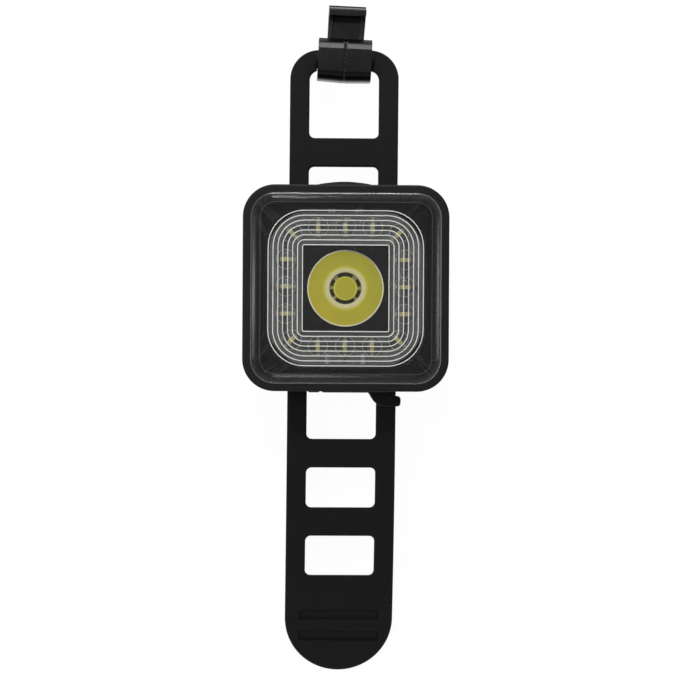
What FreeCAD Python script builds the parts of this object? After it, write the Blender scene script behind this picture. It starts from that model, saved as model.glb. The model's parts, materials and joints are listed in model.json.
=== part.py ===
"""Square rechargeable bike light on a slotted rubber strap, with every piece as its own solid.

The light lies face up. The origin is where the light's axis meets the axis of the bar that it is
strapped to. X runs along that bar, Y along the strap towards the hook, and Z is the beam's direction.
Lengths are in millimetres. The driving sizes are in the sheet named Sizes, and every other place is
a formula of them.
"""

import FreeCAD, Part
import math
import os

import Sketcher

os.makedirs("parts", exist_ok=True)
doc = FreeCAD.newDocument("BikeLight")

SIZES = [
    # bar saddle and its bracket
    ("bar_radius", 13.6, "bar or seat post that the saddle is moulded to"),
    ("saddle_depth", 7.2, "depth of the saddle's arc"),
    ("saddle_width", 22.0, "saddle along the bar"),
    ("horn_land", 1.8, "flat tip of each horn"),
    ("saddle_flare", 1.7, "how far the saddle widens from the horn tip to its top"),
    ("saddle_wall", 1.8, "rubber over the top of the arc"),
    ("bracket_reach", 2.0, "bracket beyond the corner posts, along the bar"),
    ("bracket_length", 31.0, "bracket along the strap"),
    ("bracket_plate", 2.0, "bracket plate over the saddle"),
    ("bracket_lip", 0.6, "edge of the bracket that locates the saddle"),
    ("bracket_corner", 3.0, "corner radius of the bracket"),
    ("foot_length", 26.0, "bracket foot along the strap"),
    ("bracket_screw_inset", 0.5, "bracket screws inside the line of the corner posts"),
    ("foot_corner", 0.8, "corner radius of the bracket's feet"),
    ("bracket_edge", 0.8, "bevel around the bracket's underside"),
    ("saddle_edge", 0.6, "rounded side edges of the saddle"),
    ("saddle_bend", 0.6, "share of the saddle's height at which its ends turn upright"),
    ("bracket_fit", 0.05, "room around the saddle in the bracket"),
    ("nub_fit", 0.15, "room around the strap's nub"),
    # strap
    ("strap_width", 22.8, "width of the strap"),
    ("strap_thick", 2.4, "thickness of the strap"),
    ("strap_play", 0.25, "room above and below the strap in its tunnel"),
    ("strap_side_play", 0.5, "room beside the strap in its tunnel"),
    ("strap_head", 50.4, "hook end of the strap from the axis"),
    ("strap_tail", 81.0, "tail end of the strap from the axis"),
    ("strap_straight", 22.0, "where the tail starts to droop"),
    ("tail_gap", 0.3, "tail's end over the ground"),
    ("head_round", 6.1, "outer corner radius at the hook end"),
    ("slot_width", 14.6, "slots across the strap"),
    ("slot_round", 1.15, "corner radius of the slots"),
    ("loop_round", 2.0, "upper corner radius of the hook's loop"),
    ("loop_bar", 3.9, "bar of the strap that the hook turns on"),
    ("loop_length", 14.6, "length of the hook's loop"),
    ("web", 6.0, "strap left between two slots"),
    ("slot_length", 8.5, "length of a plain slot"),
    ("long_slot_start", 17.4, "start of the long slot beside the tunnel"),
    ("long_slot_length", 14.0, "length of the long slot beside the tunnel"),
    ("grip_width", 17.1, "grip grooves across the tail"),
    ("grip_length", 2.15, "one grip groove along the tail"),
    ("grip_pitch", 4.6, "grip groove spacing"),
    ("grip_first", 67.8, "first grip groove from the axis"),
    ("grip_depth", 0.5, "depth of the grip grooves"),
    ("nub_radius", 3.0, "nub that keeps the strap from sliding through"),
    ("nub_height", 1.3, "height of the nub"),
    ("loop_side_gap", 0.3, "room between the hook's ring and the strap's rails"),
    # hook
    ("hook_width", 11.2, "hook's ring along its pivot"),
    ("ring_front", 4.3, "ring beyond the pivot, towards the tip"),
    ("ring_back", 4.8, "ring behind the pivot"),
    ("ring_half_height", 3.3, "half the ring's height"),
    ("ring_round", 2.2, "corner radius of the ring's profile"),
    ("pivot_play", 0.08, "radial room between the ring and the bar"),
    ("tongue_width", 7.6, "tongue along the pivot"),
    ("tongue_length", 7.2, "tongue beyond the ring"),
    ("tongue_thick", 1.6, "base plate of the tongue"),
    ("lip_length", 1.9, "lip at the tongue's tip, along the strap"),
    ("lip_height", 5.4, "lip above the underside of the tongue"),
    ("lip_lean", 0.5, "how far the lip leans back over the throat"),
    ("rib_thick", 0.9, "side ribs of the tongue"),
    ("rib_height", 3.0, "side ribs above the underside of the tongue"),
    ("tip_bevel", 0.6, "bevels at the tip of the tongue"),
    ("hook_edge", 0.35, "bevelled side edges of the ring"),
    # case
    ("case_width", 42.0, "square case"),
    ("case_corner", 6.55, "corner radius of the case"),
    ("case_wall", 1.8, "side walls"),
    ("rear_depth", 4.6, "rear cover"),
    ("rear_floor", 1.8, "floor of the rear cover"),
    ("rear_round", 2.2, "back edge of the rear cover"),
    ("front_depth", 17.4, "front case"),
    ("rim_width", 1.5, "rim around the lens"),
    ("rim_round", 0.4, "outer edge of the rim"),
    ("shelf_land", 3.25, "width of the shelf under the lens"),
    ("shelf_corner", 7.4, "corner radius of the shelf's opening"),
    ("shelf_thick", 1.4, "shelf under the lens"),
    ("post_inset", 4.0, "corner posts from the inside of the walls"),
    ("post_radius", 2.4, "corner posts"),
    ("boss_wall", 1.1, "plastic around a screw's hole"),
    ("boss_height", 2.5, "bracket screw bosses above the floor"),
    ("hole_gap", 0.15, "room around a screw in a through hole"),
    ("head_sink", 0.3, "case screw heads below the back"),
    ("screw_grip", 5.0, "case screws in the front case"),
    ("pilot_spare", 0.3, "pilot holes beyond the screws' tips"),
    ("seal_width", 0.8, "seal between the two case halves"),
    ("seal_depth", 0.5, "height of that seal"),
    # lens
    ("lens_gap", 0.05, "room between the lens and the rim"),
    ("lens_thick", 2.6, "lens in its middle"),
    ("lens_proud", 0.6, "lens above the rim"),
    ("bevel_width", 2.0, "bevel around the lens"),
    ("bevel_drop", 0.8, "height of that bevel"),
    ("gasket_thick", 0.6, "gasket under the lens"),
    ("gasket_inset", 0.3, "gasket behind the edge of the shelf"),
    ("window_half", 8.82, "half width of the plain window in the lens"),
    ("window_corner", 0.35, "corner radius of the innermost groove"),
    ("groove_pitch", 1.0, "spacing of the lens grooves"),
    ("groove_width", 0.22, "width of a lens groove"),
    ("groove_depth", 0.25, "depth of a lens groove"),
    # boards, lamps and optics
    ("board_thick", 1.2, "both circuit boards"),
    ("board_rise", 6.0, "lamp board above the main board"),
    ("post_gap", 0.71, "room between the posts and the boards' cut corners"),
    ("led_board_gap", 0.4, "room around the lamp board"),
    ("main_board_gap_x", 1.6, "room beside the main board, along the bar"),
    ("main_board_gap_y", 2.0, "room beside the main board, along the strap"),
    ("tower_gap", 0.15, "room around the optic holder"),
    ("pillar_inset", 2.0, "main board pillars from the board's edge"),
    ("pillar_y", 4.5, "main board pillars, along the strap"),
    ("boss_inset", 1.4, "lamp board bosses from the board's edge"),
    ("boss_y", 3.0, "lamp board bosses, along the strap"),
    ("small_boss_wall", 0.7, "plastic around a board screw's hole"),
    ("led_pitch", 5.55, "spacing of the lamps along a side"),
    ("led_inset", 0.36, "side lamps from the middle of the lit frame"),
    ("led_shift", 0.35, "ring of lamps off centre, towards the button"),
    ("led_length", 3.0, "ring lamp"),
    ("led_width", 1.4, "ring lamp"),
    ("led_height", 0.8, "ring lamp"),
    ("chip_top_x", 2.8, "upper resistors from the axis"),
    ("chip_top_length", 1.4, "upper resistors along the bar"),
    ("chip_top_width", 0.9, "upper resistors along the strap"),
    ("chip_top_inset", 0.2, "upper resistors from the edge of the shelf"),
    ("chip_low_x", 3.7, "lower resistors from the axis"),
    ("chip_low_width", 0.8, "lower resistors along the bar"),
    ("chip_low_length", 2.0, "lower resistors along the strap"),
    ("chip_low_gap", 2.25, "lower resistors from the row of lamps"),
    ("chip_height", 0.45, "resistors"),
    ("bead_radius", 1.95, "footprint of a bead lens"),
    ("bead_height", 0.9, "height of a bead lens"),
    ("array_thick", 0.8, "plate that carries the bead lenses"),
    ("array_gap", 0.1, "plate above the ring lamps"),
    ("array_edge_gap", 0.6, "room around the plate"),
    ("array_foot", 0.6, "feet of the plate"),
    ("array_foot_gap", 2.7, "feet of the plate from the rows of lamps"),
    ("holder_top_gap", 0.7, "optic holder under the lens"),
    ("optic_radius", 7.87, "front of the main optic"),
    ("optic_flange", 1.1, "cylindrical edge of the main optic"),
    ("optic_seat", 0.5, "seat under that edge"),
    ("optic_fit", 0.06, "room around that edge"),
    ("optic_sink", 0.2, "main optic below the top of its holder"),
    ("optic_lift", 1.0, "main optic above the lamp's metal board"),
    ("optic_throat", 0.65, "front of the optic's cone inside its edge"),
    ("optic_neck", 2.7, "back of the main optic"),
    ("optic_bend", 5.7, "main optic where its cone bends"),
    ("optic_bend_rise", 3.1, "that bend above the back of the main optic"),
    ("optic_well", 3.6, "well in the front of the main optic"),
    ("optic_well_depth", 1.6, "depth of that well"),
    ("optic_dome", 2.35, "lens at the bottom of the well"),
    ("well_draft", 0.3, "how much the well narrows"),
    ("dome_height", 0.85, "height of the lens at the bottom of the well"),
    ("dome_shoulder", 1.7, "shoulder of that lens"),
    ("dome_shoulder_rise", 0.55, "height of that shoulder"),
    ("lamp_pocket", 2.0, "pocket for the main lamp"),
    ("lamp_pocket_top", 1.2, "flat top of that pocket"),
    ("pocket_depth", 2.4, "depth of that pocket"),
    ("emitter_size", 3.45, "main lamp"),
    ("emitter_height", 0.8, "base of the main lamp"),
    ("emitter_dome", 1.35, "dome of the main lamp"),
    ("emitter_board_radius", 7.1, "metal board of the main lamp"),
    ("emitter_board_thick", 1.0, "metal board of the main lamp"),
    # power
    ("battery_gap", 1.1, "room between the battery and the posts"),
    ("battery_end_gap", 4.2, "room for the leads at the battery's ends"),
    ("battery_thick", 5.4, "battery"),
    ("battery_corner", 1.0, "corner radius of the battery"),
    ("battery_pad_thick", 0.7, "foam over the battery"),
    ("battery_pad_inset", 1.5, "foam inside the battery's edges"),
    ("lead_inset", 3.1, "battery leads from the battery's side"),
    ("lead_spread", 0.8, "each lead from the middle of the pair"),
    ("lead_radius", 0.45, "battery lead"),
    ("lead_drop", 1.2, "leads below the top of the battery"),
    ("lead_rise", 1.1, "leads above the main board at the plug"),
    ("lead_turn", 1.0, "middle of the leads' turn from the board's edge"),
    ("plug_start", 2.6, "battery plug from the board's edge"),
    ("plug_reach", 3.0, "battery plug along the strap"),
    ("plug_half", 2.2, "half the battery plug's width, and its height"),
    ("link_gap", 2.38, "pin strip from the optic holder"),
    ("link_width", 2.6, "pin strip between the boards"),
    ("link_end_gap", 0.2, "room between the pin strip and the board screws' heads"),
    ("driver_gap", 1.18, "driver parts from the optic holder"),
    ("coil_size", 4.0, "coil of the driver"),
    ("coil_height", 2.2, "coil of the driver"),
    ("driver_size", 3.0, "driver and charger chips"),
    ("driver_height", 0.9, "driver and charger chips"),
    ("driver_start", 6.4, "driver and charger chips from the axis, along the strap"),
    ("capacitor_length", 2.5, "capacitor"),
    ("capacitor_width", 1.3, "capacitor"),
    ("capacitor_height", 1.1, "capacitor"),
    ("capacitor_start", 6.9, "capacitors from the axis"),
    # button and its switch
    ("button_width", 13.2, "button along the bar"),
    ("button_height", 6.4, "button along the axis"),
    ("button_proud", 1.1, "button beyond the case"),
    ("button_gap", 0.2, "room around the button"),
    ("button_lip", 0.9, "flange of the button behind the wall"),
    ("button_travel", 0.35, "travel of the button"),
    ("button_crown", 0.9, "rounded edge of the button's face"),
    ("button_flange", 0.8, "thickness of the button's flange"),
    ("button_flange_gap", 0.1, "room between the flange and the wall"),
    ("stem_radius", 1.5, "stem of the button"),
    ("stem_root", 0.6, "root of the stem inside the flange"),
    ("stem_gap", 0.05, "room between the stem and the plunger"),
    ("switch_body", 3.0, "switch along the strap and along the axis"),
    ("switch_half", 3.0, "half the switch's width"),
    ("switch_setback", 2.8, "front of the switch from the wall"),
    ("plunger_seat", 0.9, "plunger inside the switch"),
    ("plunger_gap", 0.05, "room around the plunger"),
    ("plunger_radius", 0.95, "plunger of the switch"),
    ("plunger_reach", 1.2, "plunger beyond the switch"),
    # charging port and its cover
    ("port_x", 2.0, "middle of the port, along the bar"),
    ("port_width", 8.94, "shell of the socket"),
    ("port_height", 3.16, "shell of the socket"),
    ("port_length", 7.3, "shell of the socket"),
    ("port_shell", 0.3, "metal of the socket's shell"),
    ("port_setback", 0.2, "mouth of the socket from the wall"),
    ("port_back", 1.0, "back wall of the socket"),
    ("port_tongue_half", 3.3, "half the width of the contact tongue"),
    ("port_tongue_thick", 0.7, "contact tongue"),
    ("port_tongue_setback", 0.8, "contact tongue behind the mouth"),
    ("cover_length", 15.0, "port cover along the bar"),
    ("cover_height", 7.2, "port cover along the axis"),
    ("cover_corner", 1.0, "bevelled corners of the cover"),
    ("cover_recess", 0.8, "recess of the cover in the wall"),
    ("cover_proud", 0.35, "cover beyond the wall"),
    ("cover_gap", 0.2, "room around the cover"),
    ("recess_corner", 1.2, "corner radius of the cover's recess"),
    ("plug_gap", 0.3, "room beside the cover's plug"),
    ("plug_round", 1.4, "corner radius of the cover's plug"),
    ("peg_radius", 0.85, "peg that holds the cover"),
    ("peg_gap", 0.05, "room around that peg"),
    ("peg_head_radius", 1.2, "head of that peg"),
    ("peg_head", 0.6, "thickness of that head"),
    ("cover_seat_gap", 0.05, "room under the cover's flap"),
    ("cover_anchor_length", 1.3, "hinge line from the cover's left end"),
    ("cover_anchor_reach", 1.9, "fixed end of the cover beyond its flap"),
    ("cover_swing_gap", 0.3, "room between the fixed end and the round hinge end"),
    ("plug_width", 9.4, "plug of the cover"),
    ("plug_height", 4.0, "plug of the cover"),
    ("tab_reach", 3.2, "pull tab beyond the wall"),
    ("tab_height", 5.0, "pull tab along the axis"),
    ("tab_start", 2.2, "edge of the pull tab from the middle of the port"),
    ("tab_lean", 2.8, "how far that edge leans over to its tip"),
    ("tab_round", 1.0, "bevelled corner at the tip of that edge"),
    ("bulb_out", 1.6, "bulb of the pull tab beyond the flap's end"),
    ("bulb_in", 0.4, "bulb of the pull tab inside the flap's end"),
    ("bulb_length", 2.2, "bulb of the pull tab along the strap"),
    ("bulb_round", 0.7, "bevelled corners of that bulb"),
    # fasteners
    ("screw_radius", 1.0, "case and bracket screws"),
    ("screw_head", 1.9, "head radius of those screws"),
    ("screw_head_height", 1.3, "head height of those screws"),
    ("small_screw_radius", 0.8, "board screws"),
    ("small_screw_head", 1.3, "head radius of the board screws"),
    ("small_head_height", 0.8, "head height of the board screws"),
    ("small_screw_length", 3.6, "board screws under the head"),
    ("thread_bite", 0.12, "how much smaller a screw's pilot hole is than the screw"),
]
GROOVE_COUNT = 8
LEDS_PER_SIDE = 3

# How far a cut runs past a face, how deep joined shapes reach into each other, a gap too small to
# see that keeps arcs apart, and how many degrees a bead's edge lies in its plate
CLEAR = 1.0
OVERLAP = 0.5
SLIVER = 0.02
BEAD_SINK = 2.0


class Length:
    """A length with its value and its formula for the document."""

    def __init__(self, value, text):
        self.value = float(value)
        self.text = text

    def __add__(self, other):
        other = as_length(other)
        return Length(self.value + other.value, f"({self.text} + {other.text})")

    def __sub__(self, other):
        other = as_length(other)
        return Length(self.value - other.value, f"({self.text} - {other.text})")

    def __mul__(self, other):
        other = as_length(other)
        return Length(self.value * other.value, f"({self.text} * {other.text})")

    def __truediv__(self, other):
        other = as_length(other)
        return Length(self.value / other.value, f"({self.text} / {other.text})")

    def __neg__(self):
        return Length(-self.value, f"(0 - {self.text})")

    __radd__ = __add__
    __rmul__ = __mul__

    def __rsub__(self, other):
        return as_length(other) - self


def as_length(number):
    """Take a number or a length, and give a length."""
    if isinstance(number, Length):
        return number
    return Length(number, f"({number!r})")


def root(length):
    """Square root of a length's value."""
    return Length(math.sqrt(length.value), f"sqrt({length.text})")


class SizeSheet:
    """The spreadsheet of driving sizes, read by name."""

    def __init__(self, rows):
        self.values = {}
        sheet = doc.addObject("Spreadsheet::Sheet", "Sizes")
        for row, (name, value, note) in enumerate(rows, 1):
            sheet.set(f"A{row}", note)
            sheet.set(f"B{row}", str(value))
            sheet.setAlias(f"B{row}", name)
            self.values[name] = value
        doc.recompute()

    def __getattr__(self, name):
        return Length(self.values[name], f"Sizes.{name}")


s = SizeSheet(SIZES)

# Heights, from the bar's axis up. The light rests on its horns.
GROUND = s.bar_radius - s.saddle_depth
SADDLE_TOP = s.bar_radius + s.saddle_wall
BRACKET_BASE = SADDLE_TOP - s.bracket_lip
TUNNEL_FLOOR = SADDLE_TOP + s.bracket_plate
STRAP_BASE = TUNNEL_FLOOR + s.strap_play
STRAP_MIDDLE = STRAP_BASE + s.strap_thick / 2
CASE_BACK = STRAP_BASE + s.strap_thick + s.strap_play
CASE_FLOOR = CASE_BACK + s.rear_floor
CASE_SPLIT = CASE_BACK + s.rear_depth
RIM = CASE_SPLIT + s.front_depth
LENS_FRONT = RIM + s.lens_proud
LENS_BACK = LENS_FRONT - s.lens_thick
SHELF_TOP = LENS_BACK - s.gasket_thick
SHELF_BASE = SHELF_TOP - s.shelf_thick
BATTERY_TOP = CASE_FLOOR + s.battery_thick
MAIN_BOARD = BATTERY_TOP + s.battery_pad_thick
MAIN_BOARD_TOP = MAIN_BOARD + s.board_thick
LED_BOARD = MAIN_BOARD_TOP + s.board_rise
LED_BOARD_TOP = LED_BOARD + s.board_thick
LED_TOP = LED_BOARD_TOP + s.led_height
ARRAY_BASE = LED_TOP + s.array_gap
ARRAY_TOP = ARRAY_BASE + s.array_thick
HOLDER_TOP = LENS_BACK - s.holder_top_gap
OPTIC_FRONT = HOLDER_TOP - s.optic_sink
EMITTER_BASE = MAIN_BOARD_TOP + s.emitter_board_thick
OPTIC_BACK = EMITTER_BASE + s.optic_lift
PORT_Z = MAIN_BOARD_TOP + s.port_height / 2
BUTTON_Z = MAIN_BOARD_TOP + s.switch_body / 2

# Port cover: its hinge line, the middle of its flap's thickness and its anchor peg
HINGE_X = s.port_x - s.cover_length / 2 + s.cover_anchor_length
COVER_INNER = s.case_width / 2 - s.cover_recess + s.cover_seat_gap
COVER_OUTER = s.case_width / 2 + s.cover_proud
COVER_ROUND = (COVER_OUTER - COVER_INNER) / 2
ANCHOR_RIGHT = HINGE_X - COVER_ROUND - s.cover_swing_gap
ANCHOR_LEFT = s.port_x - s.cover_length / 2 - s.cover_anchor_reach
ANCHOR_X = (ANCHOR_LEFT + ANCHOR_RIGHT) / 2

# Half widths, and places that follow the case
HALF = s.case_width / 2
INNER = HALF - s.case_wall
INNER_CORNER = s.case_corner - s.case_wall
LENS_HALF = HALF - s.rim_width - s.lens_gap
LENS_CORNER = s.case_corner - s.rim_width
SHELF_HALF = LENS_HALF - s.shelf_land
POST = INNER - s.post_inset
ROOT_TWO = math.sqrt(2.0)
BOARD_CUT = POST * 2 - (s.post_radius + s.post_gap) * ROOT_TWO
LED_HALF = INNER - s.led_board_gap
MAIN_HALF_X = INNER - s.main_board_gap_x
MAIN_HALF_Y = INNER - s.main_board_gap_y
TOWER_HOLE = s.window_half + s.tower_gap
BATTERY_HALF_X = POST - s.post_radius - s.battery_gap
BATTERY_HALF_Y = INNER - s.battery_end_gap

# The side lamps stand in the middle of the lit frame, and the corner lamps nearer to the window
LED_REACH = (s.window_half + SHELF_HALF) / 2 - s.led_inset
SHELF_DIAGONAL = SHELF_HALF - s.shelf_corner * (1.0 - 1.0 / ROOT_TWO)
CORNER_SHARE = 0.4
LED_CORNER = s.window_half * (1.0 - CORNER_SHARE) + SHELF_DIAGONAL * CORNER_SHARE

# Board screws: two from below into the front case, and two from above into the rear cover
BOSS_X = LED_HALF - s.boss_inset
BOSSES = [(BOSS_X, -s.boss_y), (-BOSS_X, s.boss_y)]
PILLAR_X = MAIN_HALF_X - s.pillar_inset
PILLARS = [(PILLAR_X, s.pillar_y), (-PILLAR_X, -s.pillar_y)]
BRACKET_GRIP = s.boss_height - s.pilot_spare * 2
BRACKET_SCREW_X = POST - s.bracket_screw_inset
BRACKET_SCREWS = [(BRACKET_SCREW_X, 0), (-BRACKET_SCREW_X, 0)]

# The switch stands behind the button, and its plunger ends short of the button's stem
SWITCH_FRONT = INNER - s.switch_setback
PLUNGER_TIP = SWITCH_FRONT + s.plunger_reach

# The battery's leads turn round the board's edge to their plug
LEAD_X = s.lead_inset - BATTERY_HALF_X
LEAD_LOW = BATTERY_TOP - s.lead_drop
LEAD_HIGH = MAIN_BOARD_TOP + s.lead_rise
PLUG_END = s.plug_start - MAIN_HALF_Y
PIVOT_Y = s.strap_head - s.loop_bar / 2
ARC_HALF = root(s.bar_radius * s.bar_radius - GROUND * GROUND)
HORN = ARC_HALF + s.horn_land


def new_body(label):
    """Start one piece of the light."""
    body = doc.addObject("PartDesign::Body", label)
    body.Label = label
    return body


def sketch_on(body, role, offset):
    """Lay a sketch on one of the body's own planes, moved along that plane's normal."""
    plane = next(f for f in body.Origin.OriginFeatures if f.Role == role)
    sketch = body.newObject("Sketcher::SketchObject", "Sketch")
    sketch.AttachmentSupport = [(plane, "")]
    sketch.MapMode = "FlatFace"
    sketch.setExpression("AttachmentOffset.Base.z", as_length(offset).text)
    return sketch


def pin(sketch, geometry, point, x, y):
    """Tie one point of a sketch to its place."""
    for kind, place in (("DistanceX", as_length(x)), ("DistanceY", as_length(y))):
        index = sketch.addConstraint(Sketcher.Constraint(kind, -1, 1, geometry, point, place.value))
        sketch.setExpression(f"Constraints[{index}]", place.text)


def add_polygon(sketch, corners):
    """Draw a closed outline with straight sides."""
    corners = [(as_length(x), as_length(y)) for x, y in corners]
    points = [FreeCAD.Vector(x.value, y.value, 0) for x, y in corners]
    first = sketch.GeometryCount
    for start, end in zip(points, points[1:] + points[:1]):
        sketch.addGeometry(Part.LineSegment(start, end))
    for i, (x, y) in enumerate(corners):
        after = first + (i + 1) % len(corners)
        sketch.addConstraint(Sketcher.Constraint("Coincident", first + i, 2, after, 1))
        pin(sketch, first + i, 1, x, y)


def add_circle(sketch, x, y, radius):
    """Draw a circle."""
    x, y, radius = as_length(x), as_length(y), as_length(radius)
    centre = FreeCAD.Vector(x.value, y.value, 0)
    index = sketch.addGeometry(Part.Circle(centre, FreeCAD.Vector(0, 0, 1), radius.value))
    pin(sketch, index, 3, x, y)
    constraint = sketch.addConstraint(Sketcher.Constraint("Radius", index, radius.value))
    sketch.setExpression(f"Constraints[{constraint}]", radius.text)


def add_rounded(sketch, low, high, radii):
    """Draw an upright rectangle whose lower and upper corners have their own radii."""
    x0, y0 = map(as_length, low)
    x1, y1 = map(as_length, high)
    below, above = map(as_length, radii)
    runs = [
        ((x0 + below, y0), (x1 - below, y0), (x1 - below, y0 + below), below, -90),
        ((x1, y0 + below), (x1, y1 - above), (x1 - above, y1 - above), above, 0),
        ((x1 - above, y1), (x0 + above, y1), (x0 + above, y1 - above), above, 90),
        ((x0, y1 - above), (x0, y0 + below), (x0 + below, y0 + below), below, 180),
    ]
    lines = []
    arcs = []
    for start, end, centre, radius, angle in runs:
        ends = [FreeCAD.Vector(x.value, y.value, 0) for x, y in (start, end)]
        lines.append(sketch.addGeometry(Part.LineSegment(*ends)))
        middle = FreeCAD.Vector(centre[0].value, centre[1].value, 0)
        circle = Part.Circle(middle, FreeCAD.Vector(0, 0, 1), radius.value)
        turn = math.radians(angle)
        arcs.append(sketch.addGeometry(Part.ArcOfCircle(circle, turn, turn + math.pi / 2)))
    for i, (start, end, centre, radius, angle) in enumerate(runs):
        pin(sketch, lines[i], 1, *start)
        pin(sketch, lines[i], 2, *end)
        sketch.addConstraint(Sketcher.Constraint("Coincident", lines[i], 2, arcs[i], 1))
        sketch.addConstraint(Sketcher.Constraint("Coincident", arcs[i], 2, lines[(i + 1) % 4], 1))
        index = sketch.addConstraint(Sketcher.Constraint("Radius", arcs[i], radius.value))
        sketch.setExpression(f"Constraints[{index}]", radius.text)


def add_square(sketch, half, radius):
    """Draw a rounded square about the axis."""
    half = as_length(half)
    add_rounded(sketch, (-half, -half), (half, half), (radius, radius))


def extrude(body, kind, sketch, length, reverse=False, symmetric=False, name=None):
    """Pad or pocket a sketch, and see that it changed the body."""
    doc.recompute()
    before = body.Shape.Volume if body.Tip and not body.Shape.isNull() else 0.0
    feature = body.newObject(f"PartDesign::{kind}", name or kind)
    feature.Profile = sketch
    feature.setExpression("Length", as_length(length).text)
    feature.Reversed = reverse
    if symmetric:
        feature.SideType = "Symmetric"
    doc.recompute()
    if abs(feature.Shape.Volume - before) < 1e-6:
        raise RuntimeError(f"{body.Label}: {feature.Label} changed nothing")
    return feature


def pad(body, sketch, length, **how):
    """Add the sketch's shape along its normal."""
    return extrude(body, "Pad", sketch, length, **how)


def cut_up(body, sketch, length):
    """Cut the sketch's shape along its normal."""
    return extrude(body, "Pocket", sketch, length, reverse=True)


def cut_both(body, sketch, length):
    """Cut the sketch's shape to both sides of its plane."""
    return extrude(body, "Pocket", sketch, length, symmetric=True)


def turn_about(body, role_axis, sketch, kind="Revolution"):
    """Revolve a sketch about one of the body's own axes."""
    axis = next(f for f in body.Origin.OriginFeatures if f.Role == role_axis)
    feature = body.newObject(f"PartDesign::{kind}", kind)
    feature.Profile = sketch
    feature.ReferenceAxis = (axis, [""])
    feature.Angle = 360
    doc.recompute()
    return feature


def round_edges(body, radius, wanted, kind="Fillet"):
    """Round the edges of the body that are wanted, or bevel them."""
    doc.recompute()
    base = body.Tip
    names = [f"Edge{i}" for i, edge in enumerate(base.Shape.Edges, 1) if wanted(edge)]
    if not names:
        raise RuntimeError(f"{body.Label}: no edge to round")
    feature = body.newObject(f"PartDesign::{kind}", kind)
    feature.Base = (base, names)
    feature.setExpression("Radius" if kind == "Fillet" else "Size", as_length(radius).text)
    doc.recompute()
    return feature


def lies_at(edge, axis, place, slack=1e-4):
    """Tell whether an edge lies wholly in the plane where axis is place."""
    box = edge.BoundBox
    low, high = {"x": (box.XMin, box.XMax), "y": (box.YMin, box.YMax), "z": (box.ZMin, box.ZMax)}[axis]
    return abs(low - place) < slack and abs(high - place) < slack


def four(x, y):
    """The four places at plus and minus x and y."""
    return [(x, y), (-x, y), (-x, -y), (x, -y)]


def octagon(sketch, half_x, half_y):
    """Draw a board's outline, with its corners cut clear of the case's posts."""
    x, y = as_length(half_x), as_length(half_y)
    inner_x, inner_y = BOARD_CUT - y, BOARD_CUT - x
    add_polygon(sketch, [
        (inner_x, -y), (x, -inner_y), (x, inner_y), (inner_x, y),
        (-inner_x, y), (-x, inner_y), (-x, -inner_y), (-inner_x, -y),
    ])


def group(label, pieces):
    """Join separate solids in one node."""
    node = doc.addObject("Part::Compound", label)
    node.Label = label
    node.Links = pieces
    return node


def block(low, high):
    """A plain box between two corners."""
    box = doc.addObject("Part::Box", "Box")
    low = [as_length(v) for v in low]
    high = [as_length(v) for v in high]
    for prop, start, end in zip(("Length", "Width", "Height"), low, high):
        box.setExpression(prop, (end - start).text)
    for axis, start in zip("xyz", low):
        box.setExpression(f"Placement.Base.{axis}", start.text)
    return box


def peg(x, y, z, radius, height):
    """A plain upright cylinder."""
    cylinder = doc.addObject("Part::Cylinder", "Cylinder")
    cylinder.setExpression("Radius", as_length(radius).text)
    cylinder.setExpression("Height", as_length(height).text)
    for axis, place in zip("xyz", (x, y, z)):
        cylinder.setExpression(f"Placement.Base.{axis}", as_length(place).text)
    return cylinder


def fuse(pieces):
    """One solid from several."""
    whole = doc.addObject("Part::MultiFuse", "Fuse")
    whole.Shapes = pieces
    return whole


def saddle_pad():
    """Rubber saddle: an arc for the bar between two horns."""
    body = new_body("saddle_pad")
    sketch = sketch_on(body, "YZ_Plane", 0)
    flare = HORN + s.saddle_flare
    top = SADDLE_TOP
    bend = GROUND + (top - GROUND) * s.saddle_bend
    corners = [
        (ARC_HALF, GROUND), (HORN, GROUND), (flare, bend), (flare, top), (-flare, top), (-flare, bend),
        (-HORN, GROUND), (-ARC_HALF, GROUND),
    ]
    corners = [(as_length(y), as_length(z)) for y, z in corners]
    points = [FreeCAD.Vector(y.value, z.value, 0) for y, z in corners]
    for start, end in zip(points, points[1:]):
        sketch.addGeometry(Part.LineSegment(start, end))
    last = len(points) - 2
    circle = Part.Circle(FreeCAD.Vector(0, 0, 0), FreeCAD.Vector(0, 0, 1), s.bar_radius.value)
    begin = math.atan2(GROUND.value, ARC_HALF.value)
    arc = sketch.addGeometry(Part.ArcOfCircle(circle, begin, math.pi - begin))
    for i in range(last):
        sketch.addConstraint(Sketcher.Constraint("Coincident", i, 2, i + 1, 1))
    for i in range(last + 1):
        pin(sketch, i, 1, *corners[i])
    pin(sketch, last, 2, *corners[-1])
    sketch.addConstraint(Sketcher.Constraint("Coincident", arc, 1, 0, 1))
    sketch.addConstraint(Sketcher.Constraint("Coincident", arc, 2, last, 2))
    index = sketch.addConstraint(Sketcher.Constraint("Radius", arc, s.bar_radius.value))
    sketch.setExpression(f"Constraints[{index}]", s.bar_radius.text)
    pad(body, sketch, s.saddle_width, symmetric=True)
    for side in (s.saddle_width / 2, -s.saddle_width / 2):
        round_edges(body, s.saddle_edge, lambda e: lies_at(e, "x", side.value)
                    and e.BoundBox.ZMax < SADDLE_TOP.value - s.saddle_edge.value / 2)
    return body


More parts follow.
